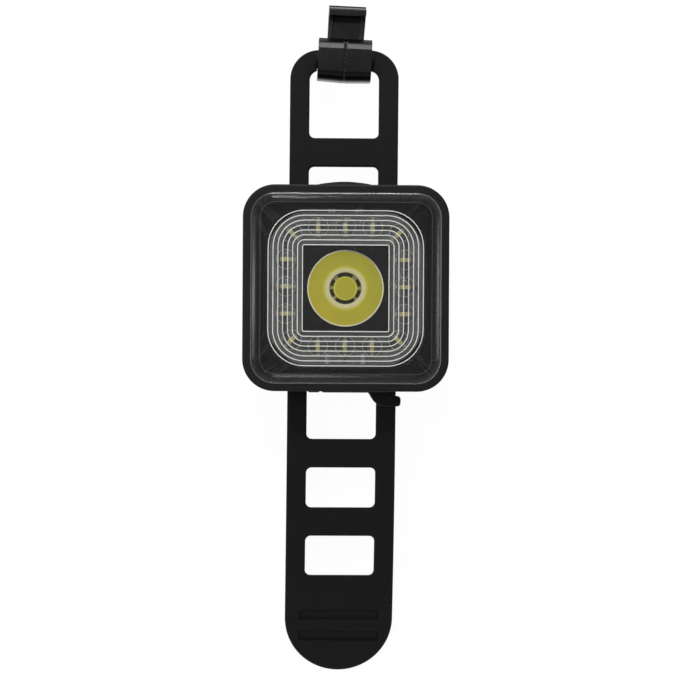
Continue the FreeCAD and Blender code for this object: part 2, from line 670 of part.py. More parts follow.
def saddle_bracket():
    """Bracket: a plate over the saddle, and two feet that make the strap's tunnel."""
    body = new_body("saddle_bracket")
    half_x, half_y = POST + s.bracket_reach, s.bracket_length / 2
    tunnel = s.strap_width / 2 + s.strap_side_play
    plate = sketch_on(body, "XY_Plane", BRACKET_BASE)
    add_rounded(plate, (-half_x, -half_y), (half_x, half_y), (s.bracket_corner, s.bracket_corner))
    pad(body, plate, s.bracket_lip + s.bracket_plate)
    for side in (1, -1):
        foot = sketch_on(body, "XY_Plane", TUNNEL_FLOOR - OVERLAP)
        edges = sorted((tunnel * side, half_x * side), key=lambda v: v.value)
        corners = (s.foot_corner, s.foot_corner)
        add_rounded(foot, (edges[0], -s.foot_length / 2), (edges[1], s.foot_length / 2), corners)
        pad(body, foot, CASE_BACK - TUNNEL_FLOOR + OVERLAP)
    round_edges(body, s.bracket_edge, lambda e: lies_at(e, "z", BRACKET_BASE.value), "Chamfer")
    seat = sketch_on(body, "XY_Plane", BRACKET_BASE)
    reach = HORN + s.saddle_flare + s.bracket_fit
    width = s.saddle_width / 2 + s.bracket_fit
    add_polygon(seat, [(-width, -reach), (width, -reach), (width, reach), (-width, reach)])
    cut_up(body, seat, s.bracket_lip)
    holes = sketch_on(body, "XY_Plane", BRACKET_BASE - CLEAR)
    heads = sketch_on(body, "XY_Plane", BRACKET_BASE - CLEAR)
    for x, y in BRACKET_SCREWS:
        add_circle(holes, x, y, s.screw_radius + s.hole_gap)
        add_circle(heads, x, y, s.screw_head + s.hole_gap)
    cut_up(body, holes, CASE_BACK - BRACKET_BASE + CLEAR * 2)
    cut_up(body, heads, s.screw_head_height + CLEAR)
    nub = sketch_on(body, "XY_Plane", SADDLE_TOP - OVERLAP)
    add_circle(nub, 0, 0, s.nub_radius + s.nub_fit)
    cut_up(body, nub, s.bracket_plate + CLEAR)
    return body


def strap():
    """Strap: one band with slots that droops from the tunnel to its tail."""
    body = new_body("strap")
    reach = s.strap_tail - s.strap_straight
    fall = STRAP_BASE - GROUND - s.tail_gap
    under_radius = (reach * reach + fall * fall) / (fall * 2)
    centre_z = STRAP_BASE - under_radius
    over_radius = under_radius + s.strap_thick
    top = STRAP_BASE + s.strap_thick
    bend = -s.strap_straight
    end = -s.strap_tail - OVERLAP

    side = sketch_on(body, "YZ_Plane", 0)
    arcs = []
    for radius in (over_radius, under_radius):
        middle = FreeCAD.Vector(bend.value, centre_z.value, 0)
        circle = Part.Circle(middle, FreeCAD.Vector(0, 0, 1), radius.value)
        turn = math.acos((bend - end).value / radius.value)
        arcs.append(side.addGeometry(Part.ArcOfCircle(circle, math.pi / 2, math.pi - turn)))
    level = [(s.strap_head, STRAP_BASE), (s.strap_head, top), (bend, top)]
    points = [FreeCAD.Vector(bend.value, STRAP_BASE.value, 0)]
    points += [FreeCAD.Vector(y.value, z.value, 0) for y, z in level]
    lines = [side.addGeometry(Part.LineSegment(a, b)) for a, b in zip(points, points[1:])]
    tips = [side.getPoint(arc, 2) for arc in arcs]
    tip = side.addGeometry(Part.LineSegment(tips[0], tips[1]))
    pin(side, lines[0], 1, bend, STRAP_BASE)
    for line, place in zip(lines, level):
        pin(side, line, 2, *place)
    for line, after in zip(lines, lines[1:]):
        side.addConstraint(Sketcher.Constraint("Coincident", line, 2, after, 1))
    side.addConstraint(Sketcher.Constraint("Coincident", lines[-1], 2, arcs[0], 1))
    side.addConstraint(Sketcher.Constraint("Coincident", lines[0], 1, arcs[1], 1))
    side.addConstraint(Sketcher.Constraint("Coincident", arcs[0], 2, tip, 1))
    side.addConstraint(Sketcher.Constraint("Coincident", arcs[1], 2, tip, 2))
    for arc in arcs:
        pin(side, arc, 3, bend, centre_z)
        index = side.addConstraint(Sketcher.Constraint("DistanceX", -1, 1, arc, 2, end.value))
        side.setExpression(f"Constraints[{index}]", end.text)
    pad(body, side, s.strap_width, symmetric=True)

    half = s.strap_width / 2
    deep = top - GROUND + CLEAR * 2
    plan = sketch_on(body, "XY_Plane", GROUND - CLEAR)
    add_polygon(plan, [
        (-s.strap_width, end - CLEAR), (s.strap_width, end - CLEAR),
        (s.strap_width, s.strap_head + CLEAR), (-s.strap_width, s.strap_head + CLEAR),
    ])
    tail_round = half - SLIVER
    add_rounded(plan, (-half, -s.strap_tail), (half, s.strap_head), (tail_round, s.head_round))
    cut_up(body, plan, deep)

    wide = s.slot_width / 2
    loop_top = s.strap_head - s.loop_bar
    loop_base = loop_top - s.loop_length
    slots = sketch_on(body, "XY_Plane", GROUND - CLEAR)
    add_rounded(slots, (-wide, loop_base), (wide, loop_top), (s.slot_round, s.loop_round))
    upper = loop_base - s.web
    add_rounded(slots, (-wide, upper - s.slot_length), (wide, upper), (s.slot_round, s.slot_round))
    high = -s.long_slot_start
    low = high - s.long_slot_length
    add_rounded(slots, (-wide, low), (wide, high), (s.slot_round, s.slot_round))
    for _ in range(2):
        high = low - s.web
        low = high - s.slot_length
        add_rounded(slots, (-wide, low), (wide, high), (s.slot_round, s.slot_round))
    cut_up(body, slots, deep)

    grips = sketch_on(body, "YZ_Plane", 0)
    for i in range(2):
        near = -s.grip_first - s.grip_pitch * i
        far = near - s.grip_length
        heights = []
        for y in (near, far):
            run = bend - y
            heights.append(centre_z + root(over_radius * over_radius - run * run))
        add_polygon(grips, [
            (far, heights[1] + CLEAR), (far, heights[1] - s.grip_depth),
            (near, heights[0] - s.grip_depth), (near, heights[0] + CLEAR),
        ])
    cut_both(body, grips, s.grip_width)

    gap = sketch_on(body, "YZ_Plane", 0)
    add_polygon(gap, [
        (loop_top - OVERLAP, STRAP_BASE - CLEAR), (s.strap_head + CLEAR, STRAP_BASE - CLEAR),
        (s.strap_head + CLEAR, top + CLEAR), (loop_top - OVERLAP, top + CLEAR),
    ])
    cut_both(body, gap, s.hook_width + s.loop_side_gap * 2)
    bar = sketch_on(body, "YZ_Plane", 0)
    add_circle(bar, PIVOT_Y, STRAP_MIDDLE, s.loop_bar / 2)
    pad(body, bar, s.hook_width + (s.loop_side_gap + OVERLAP) * 2, symmetric=True)
    nub = sketch_on(body, "XY_Plane", STRAP_BASE - s.nub_height)
    add_circle(nub, 0, 0, s.nub_radius)
    pad(body, nub, s.nub_height + s.strap_thick / 2)
    return body


def hook():
    """Hook: a ring on the strap's bar, and a tongue with a lip that catches another slot."""
    body = new_body("hook")
    front = PIVOT_Y + s.ring_front
    under = STRAP_MIDDLE - s.ring_half_height
    over = STRAP_MIDDLE + s.ring_half_height
    ring = sketch_on(body, "YZ_Plane", 0)
    add_rounded(ring, (PIVOT_Y - s.ring_back, under), (front, over), (s.ring_round, s.ring_round))
    pad(body, ring, s.hook_width, symmetric=True)
    tip = front + s.tongue_length
    throat = tip - s.lip_length
    crest = under + s.lip_height
    bevel = s.tip_bevel
    tongue = sketch_on(body, "YZ_Plane", 0)
    add_polygon(tongue, [
        (PIVOT_Y + s.ring_round, under), (tip - bevel, under), (tip, under + bevel),
        (tip, crest - bevel), (tip - bevel, crest), (throat - s.lip_lean, crest),
        (throat - s.lip_lean, crest - bevel), (throat, crest - s.lip_length),
        (throat, under + s.tongue_thick),
        (PIVOT_Y + s.ring_round, under + s.tongue_thick),
    ])
    pad(body, tongue, s.tongue_width, symmetric=True)
    for side in (1, -1):
        outer = s.tongue_width / 2
        inner = outer - s.rib_thick
        rib = sketch_on(body, "YZ_Plane", inner if side > 0 else -outer)
        add_polygon(rib, [
            (PIVOT_Y + s.ring_round, under + OVERLAP), (throat + OVERLAP, under + OVERLAP),
            (throat + OVERLAP, under + s.rib_height), (PIVOT_Y + s.ring_round, under + s.rib_height),
        ])
        pad(body, rib, s.rib_thick)
    bore = sketch_on(body, "YZ_Plane", 0)
    add_circle(bore, PIVOT_Y, STRAP_MIDDLE, s.loop_bar / 2 + s.pivot_play)
    cut_both(body, bore, s.hook_width + CLEAR)
    bore_size = s.loop_bar.value + s.pivot_play.value * 2
    for side in (s.hook_width / 2, -s.hook_width / 2):
        round_edges(body, s.hook_edge, lambda e: lies_at(e, "x", side.value)
                    and abs(e.BoundBox.YLength - bore_size) > SLIVER, "Chamfer")
    return body


def rear_cover():
    """Rear half of the case, with pillars for the main board and bosses for the screws."""
    body = new_body("rear_cover")
    outer = sketch_on(body, "XY_Plane", CASE_BACK)
    add_square(outer, HALF, s.case_corner)
    pad(body, outer, s.rear_depth)
    round_edges(body, s.rear_round, lambda e: lies_at(e, "z", CASE_BACK.value))
    inside = sketch_on(body, "XY_Plane", CASE_FLOOR)
    add_square(inside, INNER, INNER_CORNER)
    cut_up(body, inside, s.rear_depth)
    posts = sketch_on(body, "XY_Plane", CASE_FLOOR - OVERLAP)
    for x, y in four(POST, POST):
        add_circle(posts, x, y, s.post_radius)
    pad(body, posts, CASE_SPLIT - CASE_FLOOR + OVERLAP)
    bosses = sketch_on(body, "XY_Plane", CASE_FLOOR - OVERLAP)
    for x, y in BRACKET_SCREWS:
        add_circle(bosses, x, y, s.screw_radius + s.boss_wall)
    pad(body, bosses, s.boss_height + OVERLAP)
    pillars = sketch_on(body, "XY_Plane", CASE_FLOOR - OVERLAP)
    for x, y in PILLARS:
        add_circle(pillars, x, y, s.small_screw_radius + s.small_boss_wall)
    pad(body, pillars, MAIN_BOARD - CASE_FLOOR + OVERLAP)

    seal = sketch_on(body, "XY_Plane", CASE_SPLIT - s.seal_depth)
    middle = HALF - s.case_wall / 2
    for edge in (1, -1):
        half = middle + s.seal_width * edge / 2
        add_square(seal, half, s.case_corner - (HALF - half))
    cut_up(body, seal, s.seal_depth + CLEAR)
    through = sketch_on(body, "XY_Plane", CASE_BACK - CLEAR)
    heads = sketch_on(body, "XY_Plane", CASE_BACK - CLEAR)
    for x, y in four(POST, POST):
        add_circle(through, x, y, s.screw_radius + s.hole_gap)
        add_circle(heads, x, y, s.screw_head + s.hole_gap)
    cut_up(body, through, s.rear_depth + CLEAR * 2)
    cut_up(body, heads, s.screw_head_height + s.head_sink + CLEAR)
    pilots = sketch_on(body, "XY_Plane", CASE_BACK - CLEAR)
    for x, y in BRACKET_SCREWS:
        add_circle(pilots, x, y, s.screw_radius - s.thread_bite)
    cut_up(body, pilots, s.rear_floor + BRACKET_GRIP + s.pilot_spare + CLEAR)
    board_pilots = sketch_on(body, "XY_Plane", MAIN_BOARD_TOP - s.small_screw_length - s.pilot_spare)
    for x, y in PILLARS:
        add_circle(board_pilots, x, y, s.small_screw_radius - s.thread_bite)
    cut_up(body, board_pilots, s.small_screw_length + CLEAR)
    return body


def front_case():
    """Front half of the case: four walls, the rim, the lens shelf and the openings."""
    body = new_body("front_case")
    outer = sketch_on(body, "XY_Plane", CASE_SPLIT)
    add_square(outer, HALF, s.case_corner)
    pad(body, outer, s.front_depth)
    round_edges(body, s.rim_round, lambda e: lies_at(e, "z", RIM.value))
    rebate = sketch_on(body, "XY_Plane", SHELF_TOP)
    add_square(rebate, HALF - s.rim_width, LENS_CORNER)
    cut_up(body, rebate, RIM - SHELF_TOP + CLEAR)
    shelf = sketch_on(body, "XY_Plane", SHELF_BASE - CLEAR)
    add_square(shelf, SHELF_HALF, s.shelf_corner)
    cut_up(body, shelf, s.shelf_thick + CLEAR * 2)
    inside = sketch_on(body, "XY_Plane", CASE_SPLIT - CLEAR)
    add_square(inside, INNER, INNER_CORNER)
    cut_up(body, inside, SHELF_BASE - CASE_SPLIT + CLEAR)
    posts = sketch_on(body, "XY_Plane", CASE_SPLIT)
    for x, y in four(POST, POST):
        add_circle(posts, x, y, s.post_radius)
    pad(body, posts, SHELF_BASE - CASE_SPLIT + OVERLAP)
    bosses = sketch_on(body, "XY_Plane", LED_BOARD_TOP)
    for x, y in BOSSES:
        add_circle(bosses, x, y, s.small_screw_radius + s.small_boss_wall)
    pad(body, bosses, SHELF_BASE - LED_BOARD_TOP + OVERLAP)

    pilots = sketch_on(body, "XY_Plane", CASE_SPLIT - CLEAR)
    for x, y in four(POST, POST):
        add_circle(pilots, x, y, s.screw_radius - s.thread_bite)
    cut_up(body, pilots, s.screw_grip + s.pilot_spare + CLEAR)
    board_pilots = sketch_on(body, "XY_Plane", LED_BOARD)
    for x, y in BOSSES:
        add_circle(board_pilots, x, y, s.small_screw_radius - s.thread_bite)
    cut_up(body, board_pilots, s.small_screw_length + s.pilot_spare)

    through_wall = (s.case_wall + OVERLAP) * 2
    button = sketch_on(body, "XZ_Plane", -HALF)
    wide = s.button_width / 2 + s.button_gap
    tall = s.button_height / 2 + s.button_gap
    ends = (tall - SLIVER, tall - SLIVER)
    add_rounded(button, (-wide, BUTTON_Z - tall), (wide, BUTTON_Z + tall), ends)
    cut_both(body, button, through_wall)
    port = sketch_on(body, "XZ_Plane", HALF)
    wide, tall = s.plug_width / 2 + s.plug_gap, s.plug_height / 2 + s.cover_gap
    ends = (s.plug_round + s.cover_gap, s.plug_round + s.cover_gap)
    add_rounded(port, (s.port_x - wide, PORT_Z - tall), (s.port_x + wide, PORT_Z + tall), ends)
    cut_both(body, port, through_wall)
    recess = sketch_on(body, "XZ_Plane", HALF - s.cover_recess)
    wide, tall = s.cover_length / 2 + s.cover_gap, s.cover_height / 2 + s.cover_gap
    left = ANCHOR_LEFT - s.cover_gap
    corners = (s.recess_corner, s.recess_corner)
    add_rounded(recess, (left, PORT_Z - tall), (s.port_x + wide, PORT_Z + tall), corners)
    cut_up(body, recess, s.cover_recess + CLEAR)
    anchor = sketch_on(body, "XZ_Plane", HALF)
    add_circle(anchor, ANCHOR_X, PORT_Z, s.peg_radius + s.peg_gap)
    cut_both(body, anchor, through_wall)
    return body


def port_cover():
    """Rubber flap over the charging port, with its plug and pull tab."""
    body = new_body("port_cover")
    inner, outer = COVER_INNER, COVER_OUTER
    right = s.port_x + s.cover_length / 2
    tall = s.cover_height / 2
    flap = sketch_on(body, "XZ_Plane", inner)
    add_polygon(flap, [
        (HINGE_X, PORT_Z - tall), (right - s.cover_corner, PORT_Z - tall),
        (right, PORT_Z - tall + s.cover_corner), (right, PORT_Z + tall - s.cover_corner),
        (right - s.cover_corner, PORT_Z + tall), (HINGE_X, PORT_Z + tall),
    ])
    pad(body, flap, outer - inner)
    knuckle = sketch_on(body, "XY_Plane", PORT_Z - tall)
    add_circle(knuckle, HINGE_X, COVER_ROUND - outer, COVER_ROUND)
    pad(body, knuckle, s.cover_height)
    plug_tip = INNER + s.port_setback / 2
    plug = sketch_on(body, "XZ_Plane", plug_tip)
    wide, high = s.plug_width / 2, s.plug_height / 2
    ends = (s.plug_round, s.plug_round)
    add_rounded(plug, (s.port_x - wide, PORT_Z - high), (s.port_x + wide, PORT_Z + high), ends)
    pad(body, plug, inner - plug_tip + SLIVER)
    tab = sketch_on(body, "XY_Plane", PORT_Z - s.tab_height / 2)
    far = -(HALF + s.tab_reach)
    start, bulb = s.port_x + s.tab_start, right + s.bulb_out
    near = far + s.bulb_length
    add_polygon(tab, [
        (start, SLIVER - outer), (start + s.tab_lean - s.tab_round, far + s.tab_round),
        (start + s.tab_lean, far), (bulb - s.bulb_round, far), (bulb, far + s.bulb_round),
        (bulb, near - s.bulb_round), (bulb - s.bulb_round, near),
        (right - s.bulb_in, near), (right - s.bulb_in, SLIVER - outer),
    ])
    pad(body, tab, s.tab_height)
    return body


def cover_anchor():
    """Fixed end of the port cover, held by its peg in the wall."""
    inner = HALF - s.cover_recess
    body = new_body("cover_anchor")
    tall = s.cover_height / 2 - s.cover_corner
    end = sketch_on(body, "XZ_Plane", inner)
    add_polygon(end, [
        (ANCHOR_LEFT, PORT_Z - tall), (ANCHOR_RIGHT, PORT_Z - tall),
        (ANCHOR_RIGHT, PORT_Z + tall), (ANCHOR_LEFT, PORT_Z + tall),
    ])
    pad(body, end, s.cover_recess + s.cover_proud)
    shank = sketch_on(body, "XZ_Plane", inner)
    add_circle(shank, ANCHOR_X, PORT_Z, s.peg_radius)
    pad(body, shank, s.case_wall - s.cover_recess + s.peg_head, reverse=True)
    head = sketch_on(body, "XZ_Plane", INNER - s.peg_gap)
    add_circle(head, ANCHOR_X, PORT_Z, s.peg_head_radius)
    pad(body, head, s.peg_head, reverse=True)
    return body


def power_button():
    """Rubber button: a crowned cap, a flange behind the wall and a stem for the switch."""
    body = new_body("power_button")
    face = HALF + s.button_proud
    lip = INNER - s.button_flange_gap
    wide, tall = s.button_width / 2, s.button_height / 2
    cap = sketch_on(body, "XZ_Plane", -face)
    ends = (tall - SLIVER, tall - SLIVER)
    add_rounded(cap, (-wide, BUTTON_Z - tall), (wide, BUTTON_Z + tall), ends)
    pad(body, cap, face - lip)
    round_edges(body, s.button_crown, lambda e: lies_at(e, "y", face.value))
    flange = sketch_on(body, "XZ_Plane", -lip)
    out = s.button_lip
    round_by = tall + out - SLIVER
    add_rounded(flange, (-wide - out, BUTTON_Z - tall - out), (wide + out, BUTTON_Z + tall + out),
                (round_by, round_by))
    pad(body, flange, s.button_flange)
    root_y = lip - s.stem_root
    stem = sketch_on(body, "XZ_Plane", -root_y)
    add_circle(stem, 0, BUTTON_Z, s.stem_radius)
    pad(body, stem, root_y - PLUNGER_TIP - s.stem_gap)
    return body


def switch_body():
    """Side-pressed switch on the main board."""
    body = new_body("switch_body")
    back = SWITCH_FRONT - s.switch_body
    case = sketch_on(body, "XY_Plane", MAIN_BOARD_TOP)
    half = s.switch_half
    add_polygon(case, [(-half, back), (half, back), (half, SWITCH_FRONT), (-half, SWITCH_FRONT)])
    pad(body, case, s.switch_body)
    hole = sketch_on(body, "XZ_Plane", -SWITCH_FRONT)
    add_circle(hole, 0, BUTTON_Z, s.plunger_radius + s.plunger_gap)
    cut_up(body, hole, s.plunger_seat + s.button_travel * 2)
    return body


def switch_plunger():
    """Plunger of the switch."""
    body = new_body("switch_plunger")
    sketch = sketch_on(body, "XZ_Plane", -PLUNGER_TIP)
    add_circle(sketch, 0, BUTTON_Z, s.plunger_radius)
    pad(body, sketch, s.plunger_reach + s.plunger_seat)
    return body


def front_lens():
    """Clear lens: a bevelled square with concentric grooves in its back."""
    body = new_body("front_lens")
    plate = sketch_on(body, "XY_Plane", LENS_BACK)
    add_square(plate, LENS_HALF, LENS_CORNER)
    pad(body, plate, s.lens_thick)
    edge = body.newObject("PartDesign::Chamfer", "Bevel")
    base = body.Group[-2]
    names = [f"Edge{i}" for i, e in enumerate(base.Shape.Edges, 1) if lies_at(e, "z", LENS_FRONT.value)]
    edge.Base = (base, names)
    edge.ChamferType = "Two distances"
    edge.setExpression("Size", s.bevel_drop.text)
    edge.setExpression("Size2", s.bevel_width.text)
    doc.recompute()
    for i in range(GROOVE_COUNT):
        middle = s.window_half + s.groove_pitch * i
        groove = sketch_on(body, "XY_Plane", LENS_BACK)
        for side in (1, -1):
            half = middle + s.groove_width * side / 2
            add_square(groove, half, s.window_corner + half - s.window_half)
        cut_up(body, groove, s.groove_depth)
    return body


def frame(label, outer, inner, base, height):
    """A flat rounded-square ring: each of outer and inner is a half width and a radius."""
    body = new_body(label)
    sketch = sketch_on(body, "XY_Plane", base)
    add_square(sketch, *outer)
    add_square(sketch, *inner)
    pad(body, sketch, height)
    return body


def lens_gasket():
    """Gasket between the lens and the shelf."""
    half = LENS_HALF - s.lens_gap
    return frame("lens_gasket", (half, LENS_CORNER - s.lens_gap),
                 (SHELF_HALF + s.gasket_inset, s.shelf_corner), SHELF_TOP, s.gasket_thick)


def case_seal():
    """Seal in the groove between the case halves."""
    middle = HALF - s.case_wall / 2
    outer = middle + s.seal_width / 2
    inner = middle - s.seal_width / 2
    return frame("case_seal", (outer, s.case_corner - (HALF - outer)),
                 (inner, s.case_corner - (HALF - inner)), CASE_SPLIT - s.seal_depth, s.seal_depth)


def main_board():
    """Main circuit board."""
    body = new_body("main_board")
    outline = sketch_on(body, "XY_Plane", MAIN_BOARD)
    octagon(outline, MAIN_HALF_X, MAIN_HALF_Y)
    for x, y in PILLARS:
        add_circle(outline, x, y, s.small_screw_radius + s.hole_gap)
    pad(body, outline, s.board_thick)
    return body


def add_opening(sketch):
    """Draw the square opening around the optic holder."""
    half = TOWER_HOLE
    add_polygon(sketch, [(-half, -half), (half, -half), (half, half), (-half, half)])


def led_places():
    """Middle of each ring lamp and its turn in degrees: each points away from the optic."""
    places = []
    for i in range(LEDS_PER_SIDE):
        along = s.led_pitch * (i - (LEDS_PER_SIDE - 1) / 2)
        for side in (1, -1):
            places.append((along, LED_REACH * side + s.led_shift, 90.0))
            places.append((LED_REACH * side, along + s.led_shift, 0.0))
    for x, y in four(LED_CORNER, LED_CORNER):
        places.append((x, y + s.led_shift, math.copysign(45.0, x.value * y.value)))
    return places


def led_board():
    """Board of the ring lamps, open in the middle for the optic holder."""
    body = new_body("led_board")
    outline = sketch_on(body, "XY_Plane", LED_BOARD)
    octagon(outline, LED_HALF, LED_HALF)
    add_opening(outline)
    for x, y in BOSSES:
        add_circle(outline, x, y, s.small_screw_radius + s.hole_gap)
    pad(body, outline, s.board_thick)
    return body


def ring_leds():
    """Sixteen lamps around the optic, each pointing away from it."""
    lamps = []
    for x, y, turn in led_places():
        lamp = doc.addObject("Part::Box", "RingLamp")
        lamp.setExpression("Length", s.led_length.text)
        lamp.setExpression("Width", s.led_width.text)
        lamp.setExpression("Height", s.led_height.text)
        lamp.Placement.Rotation = FreeCAD.Rotation(FreeCAD.Vector(0, 0, 1), turn)
        cosine, sine = math.cos(math.radians(turn)), math.sin(math.radians(turn))
        left = x - s.led_length / 2 * cosine + s.led_width / 2 * sine
        front = y - s.led_length / 2 * sine - s.led_width / 2 * cosine
        for axis, place in zip("xyz", (left, front, LED_BOARD_TOP)):
            lamp.setExpression(f"Placement.Base.{axis}", place.text)
        lamps.append(lamp)
    return group("ring_leds", lamps)


def chip_resistors():
    """Four small resistors outside the ring of lamps."""
    z = LED_BOARD_TOP
    chips = []
    for side in (1, -1):
        for middle_x, middle_y, length, width in (
            (s.chip_top_x * side, SHELF_HALF - s.chip_top_inset, s.chip_top_length, s.chip_top_width),
            (s.chip_low_x * side, -LED_REACH - s.chip_low_gap, s.chip_low_width, s.chip_low_length),
        ):
            low = (middle_x - length / 2, middle_y - width / 2, z)
            high = (middle_x + length / 2, middle_y + width / 2, z + s.chip_height)
            chips.append(block(low, high))
    return group("chip_resistors", chips)


def lens_array():
    """Clear plate with a bead lens over each ring lamp, on four feet."""
    body = new_body("array_plate")
    sketch = sketch_on(body, "XY_Plane", ARRAY_BASE)
    add_square(sketch, SHELF_HALF - s.array_edge_gap, s.shelf_corner + s.array_edge_gap)
    add_opening(sketch)
    pad(body, sketch, s.array_thick)
    feet = sketch_on(body, "XY_Plane", LED_BOARD_TOP)
    reach = LED_REACH + s.array_foot_gap
    for x, y in ((reach, 0), (-reach, 0), (0, reach), (0, -reach)):
        add_circle(feet, x, y, s.array_foot)
    pad(body, feet, ARRAY_BASE - LED_BOARD_TOP + SLIVER)
    beads = [body]
    sphere = (s.bead_radius * s.bead_radius + s.bead_height * s.bead_height) / (s.bead_height * 2)
    for x, y, _ in led_places():
        ball = doc.addObject("Part::Sphere", "Bead")
        ball.setExpression("Radius", sphere.text)
        lowest = math.degrees(math.asin((sphere - s.bead_height).value / sphere.value))
        ball.Angle1 = lowest - BEAD_SINK
        ball.Angle2 = 90
        ball.Angle3 = 360
        for axis, place in zip("xyz", (x, y, ARRAY_TOP + s.bead_height - sphere)):
            ball.setExpression(f"Placement.Base.{axis}", as_length(place).text)
        beads.append(ball)
    whole = fuse(beads)
    whole.Label = "lens_array"
    return whole


def optic_holder():
    """Square black tower that holds the main optic over its lamp."""
    body = new_body("optic_holder")
    half = s.window_half
    tower = sketch_on(body, "XY_Plane", MAIN_BOARD_TOP)
    add_polygon(tower, [(-half, -half), (half, -half), (half, half), (-half, half)])
    add_circle(tower, 0, 0, s.optic_radius - s.optic_seat)
    pad(body, tower, HOLDER_TOP - MAIN_BOARD_TOP)
    seat = sketch_on(body, "XY_Plane", OPTIC_FRONT - s.optic_flange)
    add_circle(seat, 0, 0, s.optic_radius + s.optic_fit)
    cut_up(body, seat, s.optic_flange + CLEAR)
    return body


def tir_lens():
    """Main optic: a solid cone whose curved side turns the light forwards."""
    body = new_body("tir_lens")
    rim_base = OPTIC_FRONT - s.optic_flange
    throat = s.optic_radius - s.optic_throat
    outline = sketch_on(body, "XZ_Plane", 0)
    well_floor = OPTIC_FRONT - s.optic_well_depth
    pocket_top = OPTIC_BACK + s.pocket_depth
    add_polygon(outline, [
        (0, pocket_top), (s.lamp_pocket_top, pocket_top - s.well_draft), (s.lamp_pocket, OPTIC_BACK),
        (s.optic_neck, OPTIC_BACK), (s.optic_bend, OPTIC_BACK + s.optic_bend_rise), (throat, rim_base),
        (s.optic_radius, rim_base), (s.optic_radius, OPTIC_FRONT), (s.optic_well, OPTIC_FRONT),
        (s.optic_well - s.well_draft, well_floor), (s.optic_dome, well_floor),
        (s.dome_shoulder, well_floor + s.dome_shoulder_rise), (0, well_floor + s.dome_height),
    ])
    turn_about(body, "Z_Axis", outline)
    return body


def main_emitter():
    """Main lamp: its square base and its dome."""
    half = s.emitter_size / 2
    base = block((-half, -half, EMITTER_BASE), (half, half, EMITTER_BASE + s.emitter_height))
    dome = doc.addObject("Part::Sphere", "Dome")
    dome.setExpression("Radius", s.emitter_dome.text)
    dome.Angle1 = 0
    dome.setExpression("Placement.Base.z", (EMITTER_BASE + s.emitter_height - SLIVER).text)
    whole = fuse([base, dome])
    whole.Label = "main_emitter"
    return whole


def emitter_board():
    """Round metal board that carries the main lamp's heat."""
    disc = peg(0, 0, MAIN_BOARD_TOP, s.emitter_board_radius, s.emitter_board_thick)
    disc.Label = "emitter_board"
    return disc


def board_link():
    """Pin strip between the two boards."""
    right = -s.window_half - s.link_gap
    half = s.pillar_y - s.small_screw_head - s.link_end_gap
    strip = block((right - s.link_width, -half, MAIN_BOARD_TOP), (right, half, LED_BOARD))
    strip.Label = "board_link"
    return strip


def driver_parts():
    """Coil, driver, charger and capacitors on the main board."""
    z = MAIN_BOARD_TOP
    left = s.window_half + s.driver_gap
    half = s.coil_size / 2
    parts = [block((left, -half, z), (left + s.coil_size, half, z + s.coil_height))]
    near, far = s.driver_start, s.driver_start + s.driver_size
    for low, high in ((near, far), (-far, -near)):
        parts.append(block((left, low, z), (left + s.driver_size, high, z + s.driver_height)))
    near, far = s.capacitor_start, s.capacitor_start + s.capacitor_length
    for low, high in ((near, far), (-far, -near)):
        parts.append(block((low, left, z), (high, left + s.capacitor_width, z + s.capacitor_height)))
    return group("driver_parts", parts)


def battery():
    """Flat pouch cell on the floor of the rear cover."""
    body = new_body("battery")
    outline = sketch_on(body, "XY_Plane", CASE_FLOOR)
    half_x, half_y = BATTERY_HALF_X, BATTERY_HALF_Y
    add_rounded(outline, (-half_x, -half_y), (half_x, half_y), (s.battery_corner, s.battery_corner))
    pad(body, outline, s.battery_thick)
    return body


def battery_pad():
    """Foam between the battery and the main board."""
    half_x, half_y = BATTERY_HALF_X - s.battery_pad_inset, BATTERY_HALF_Y - s.battery_pad_inset
    foam = block((-half_x, -half_y, BATTERY_TOP), (half_x, half_y, MAIN_BOARD))
    foam.Label = "battery_pad"
    return foam


def battery_plug():
    """Plug of the battery leads on the main board."""
    low = (LEAD_X - s.plug_half, PLUG_END, MAIN_BOARD_TOP)
    high = (LEAD_X + s.plug_half, PLUG_END + s.plug_reach, MAIN_BOARD_TOP + s.plug_half)
    plug = block(low, high)
    plug.Label = "battery_plug"
    return plug


def battery_leads():
    """Two insulated leads, each one run out, one half turn round the board's edge and one run back."""
    turn_y = s.lead_turn - MAIN_HALF_Y
    leads = []
    for side in (-s.lead_spread, s.lead_spread):
        x = (LEAD_X + side).value
        places = [
            (-BATTERY_HALF_Y, LEAD_LOW), (turn_y, LEAD_LOW), (turn_y, LEAD_HIGH), (PLUG_END, LEAD_HIGH),
        ]
        start, out, back, end = [FreeCAD.Vector(x, y.value, z.value) for y, z in places]
        face = Part.Face(Part.Wire([Part.makeCircle(s.lead_radius.value, start, out - start)]))
        run = face.extrude(out - start)
        face.translate(out - start)
        bend = face.revolve((out + back) / 2, FreeCAD.Vector(-1, 0, 0), 180)
        face.translate(back - out)
        leads.append(run.fuse([bend, face.extrude(end - back)]).removeSplitter())
    node = doc.addObject("Part::Feature", "battery_leads")
    node.Label = "battery_leads"
    node.Shape = Part.makeCompound(leads)
    return node


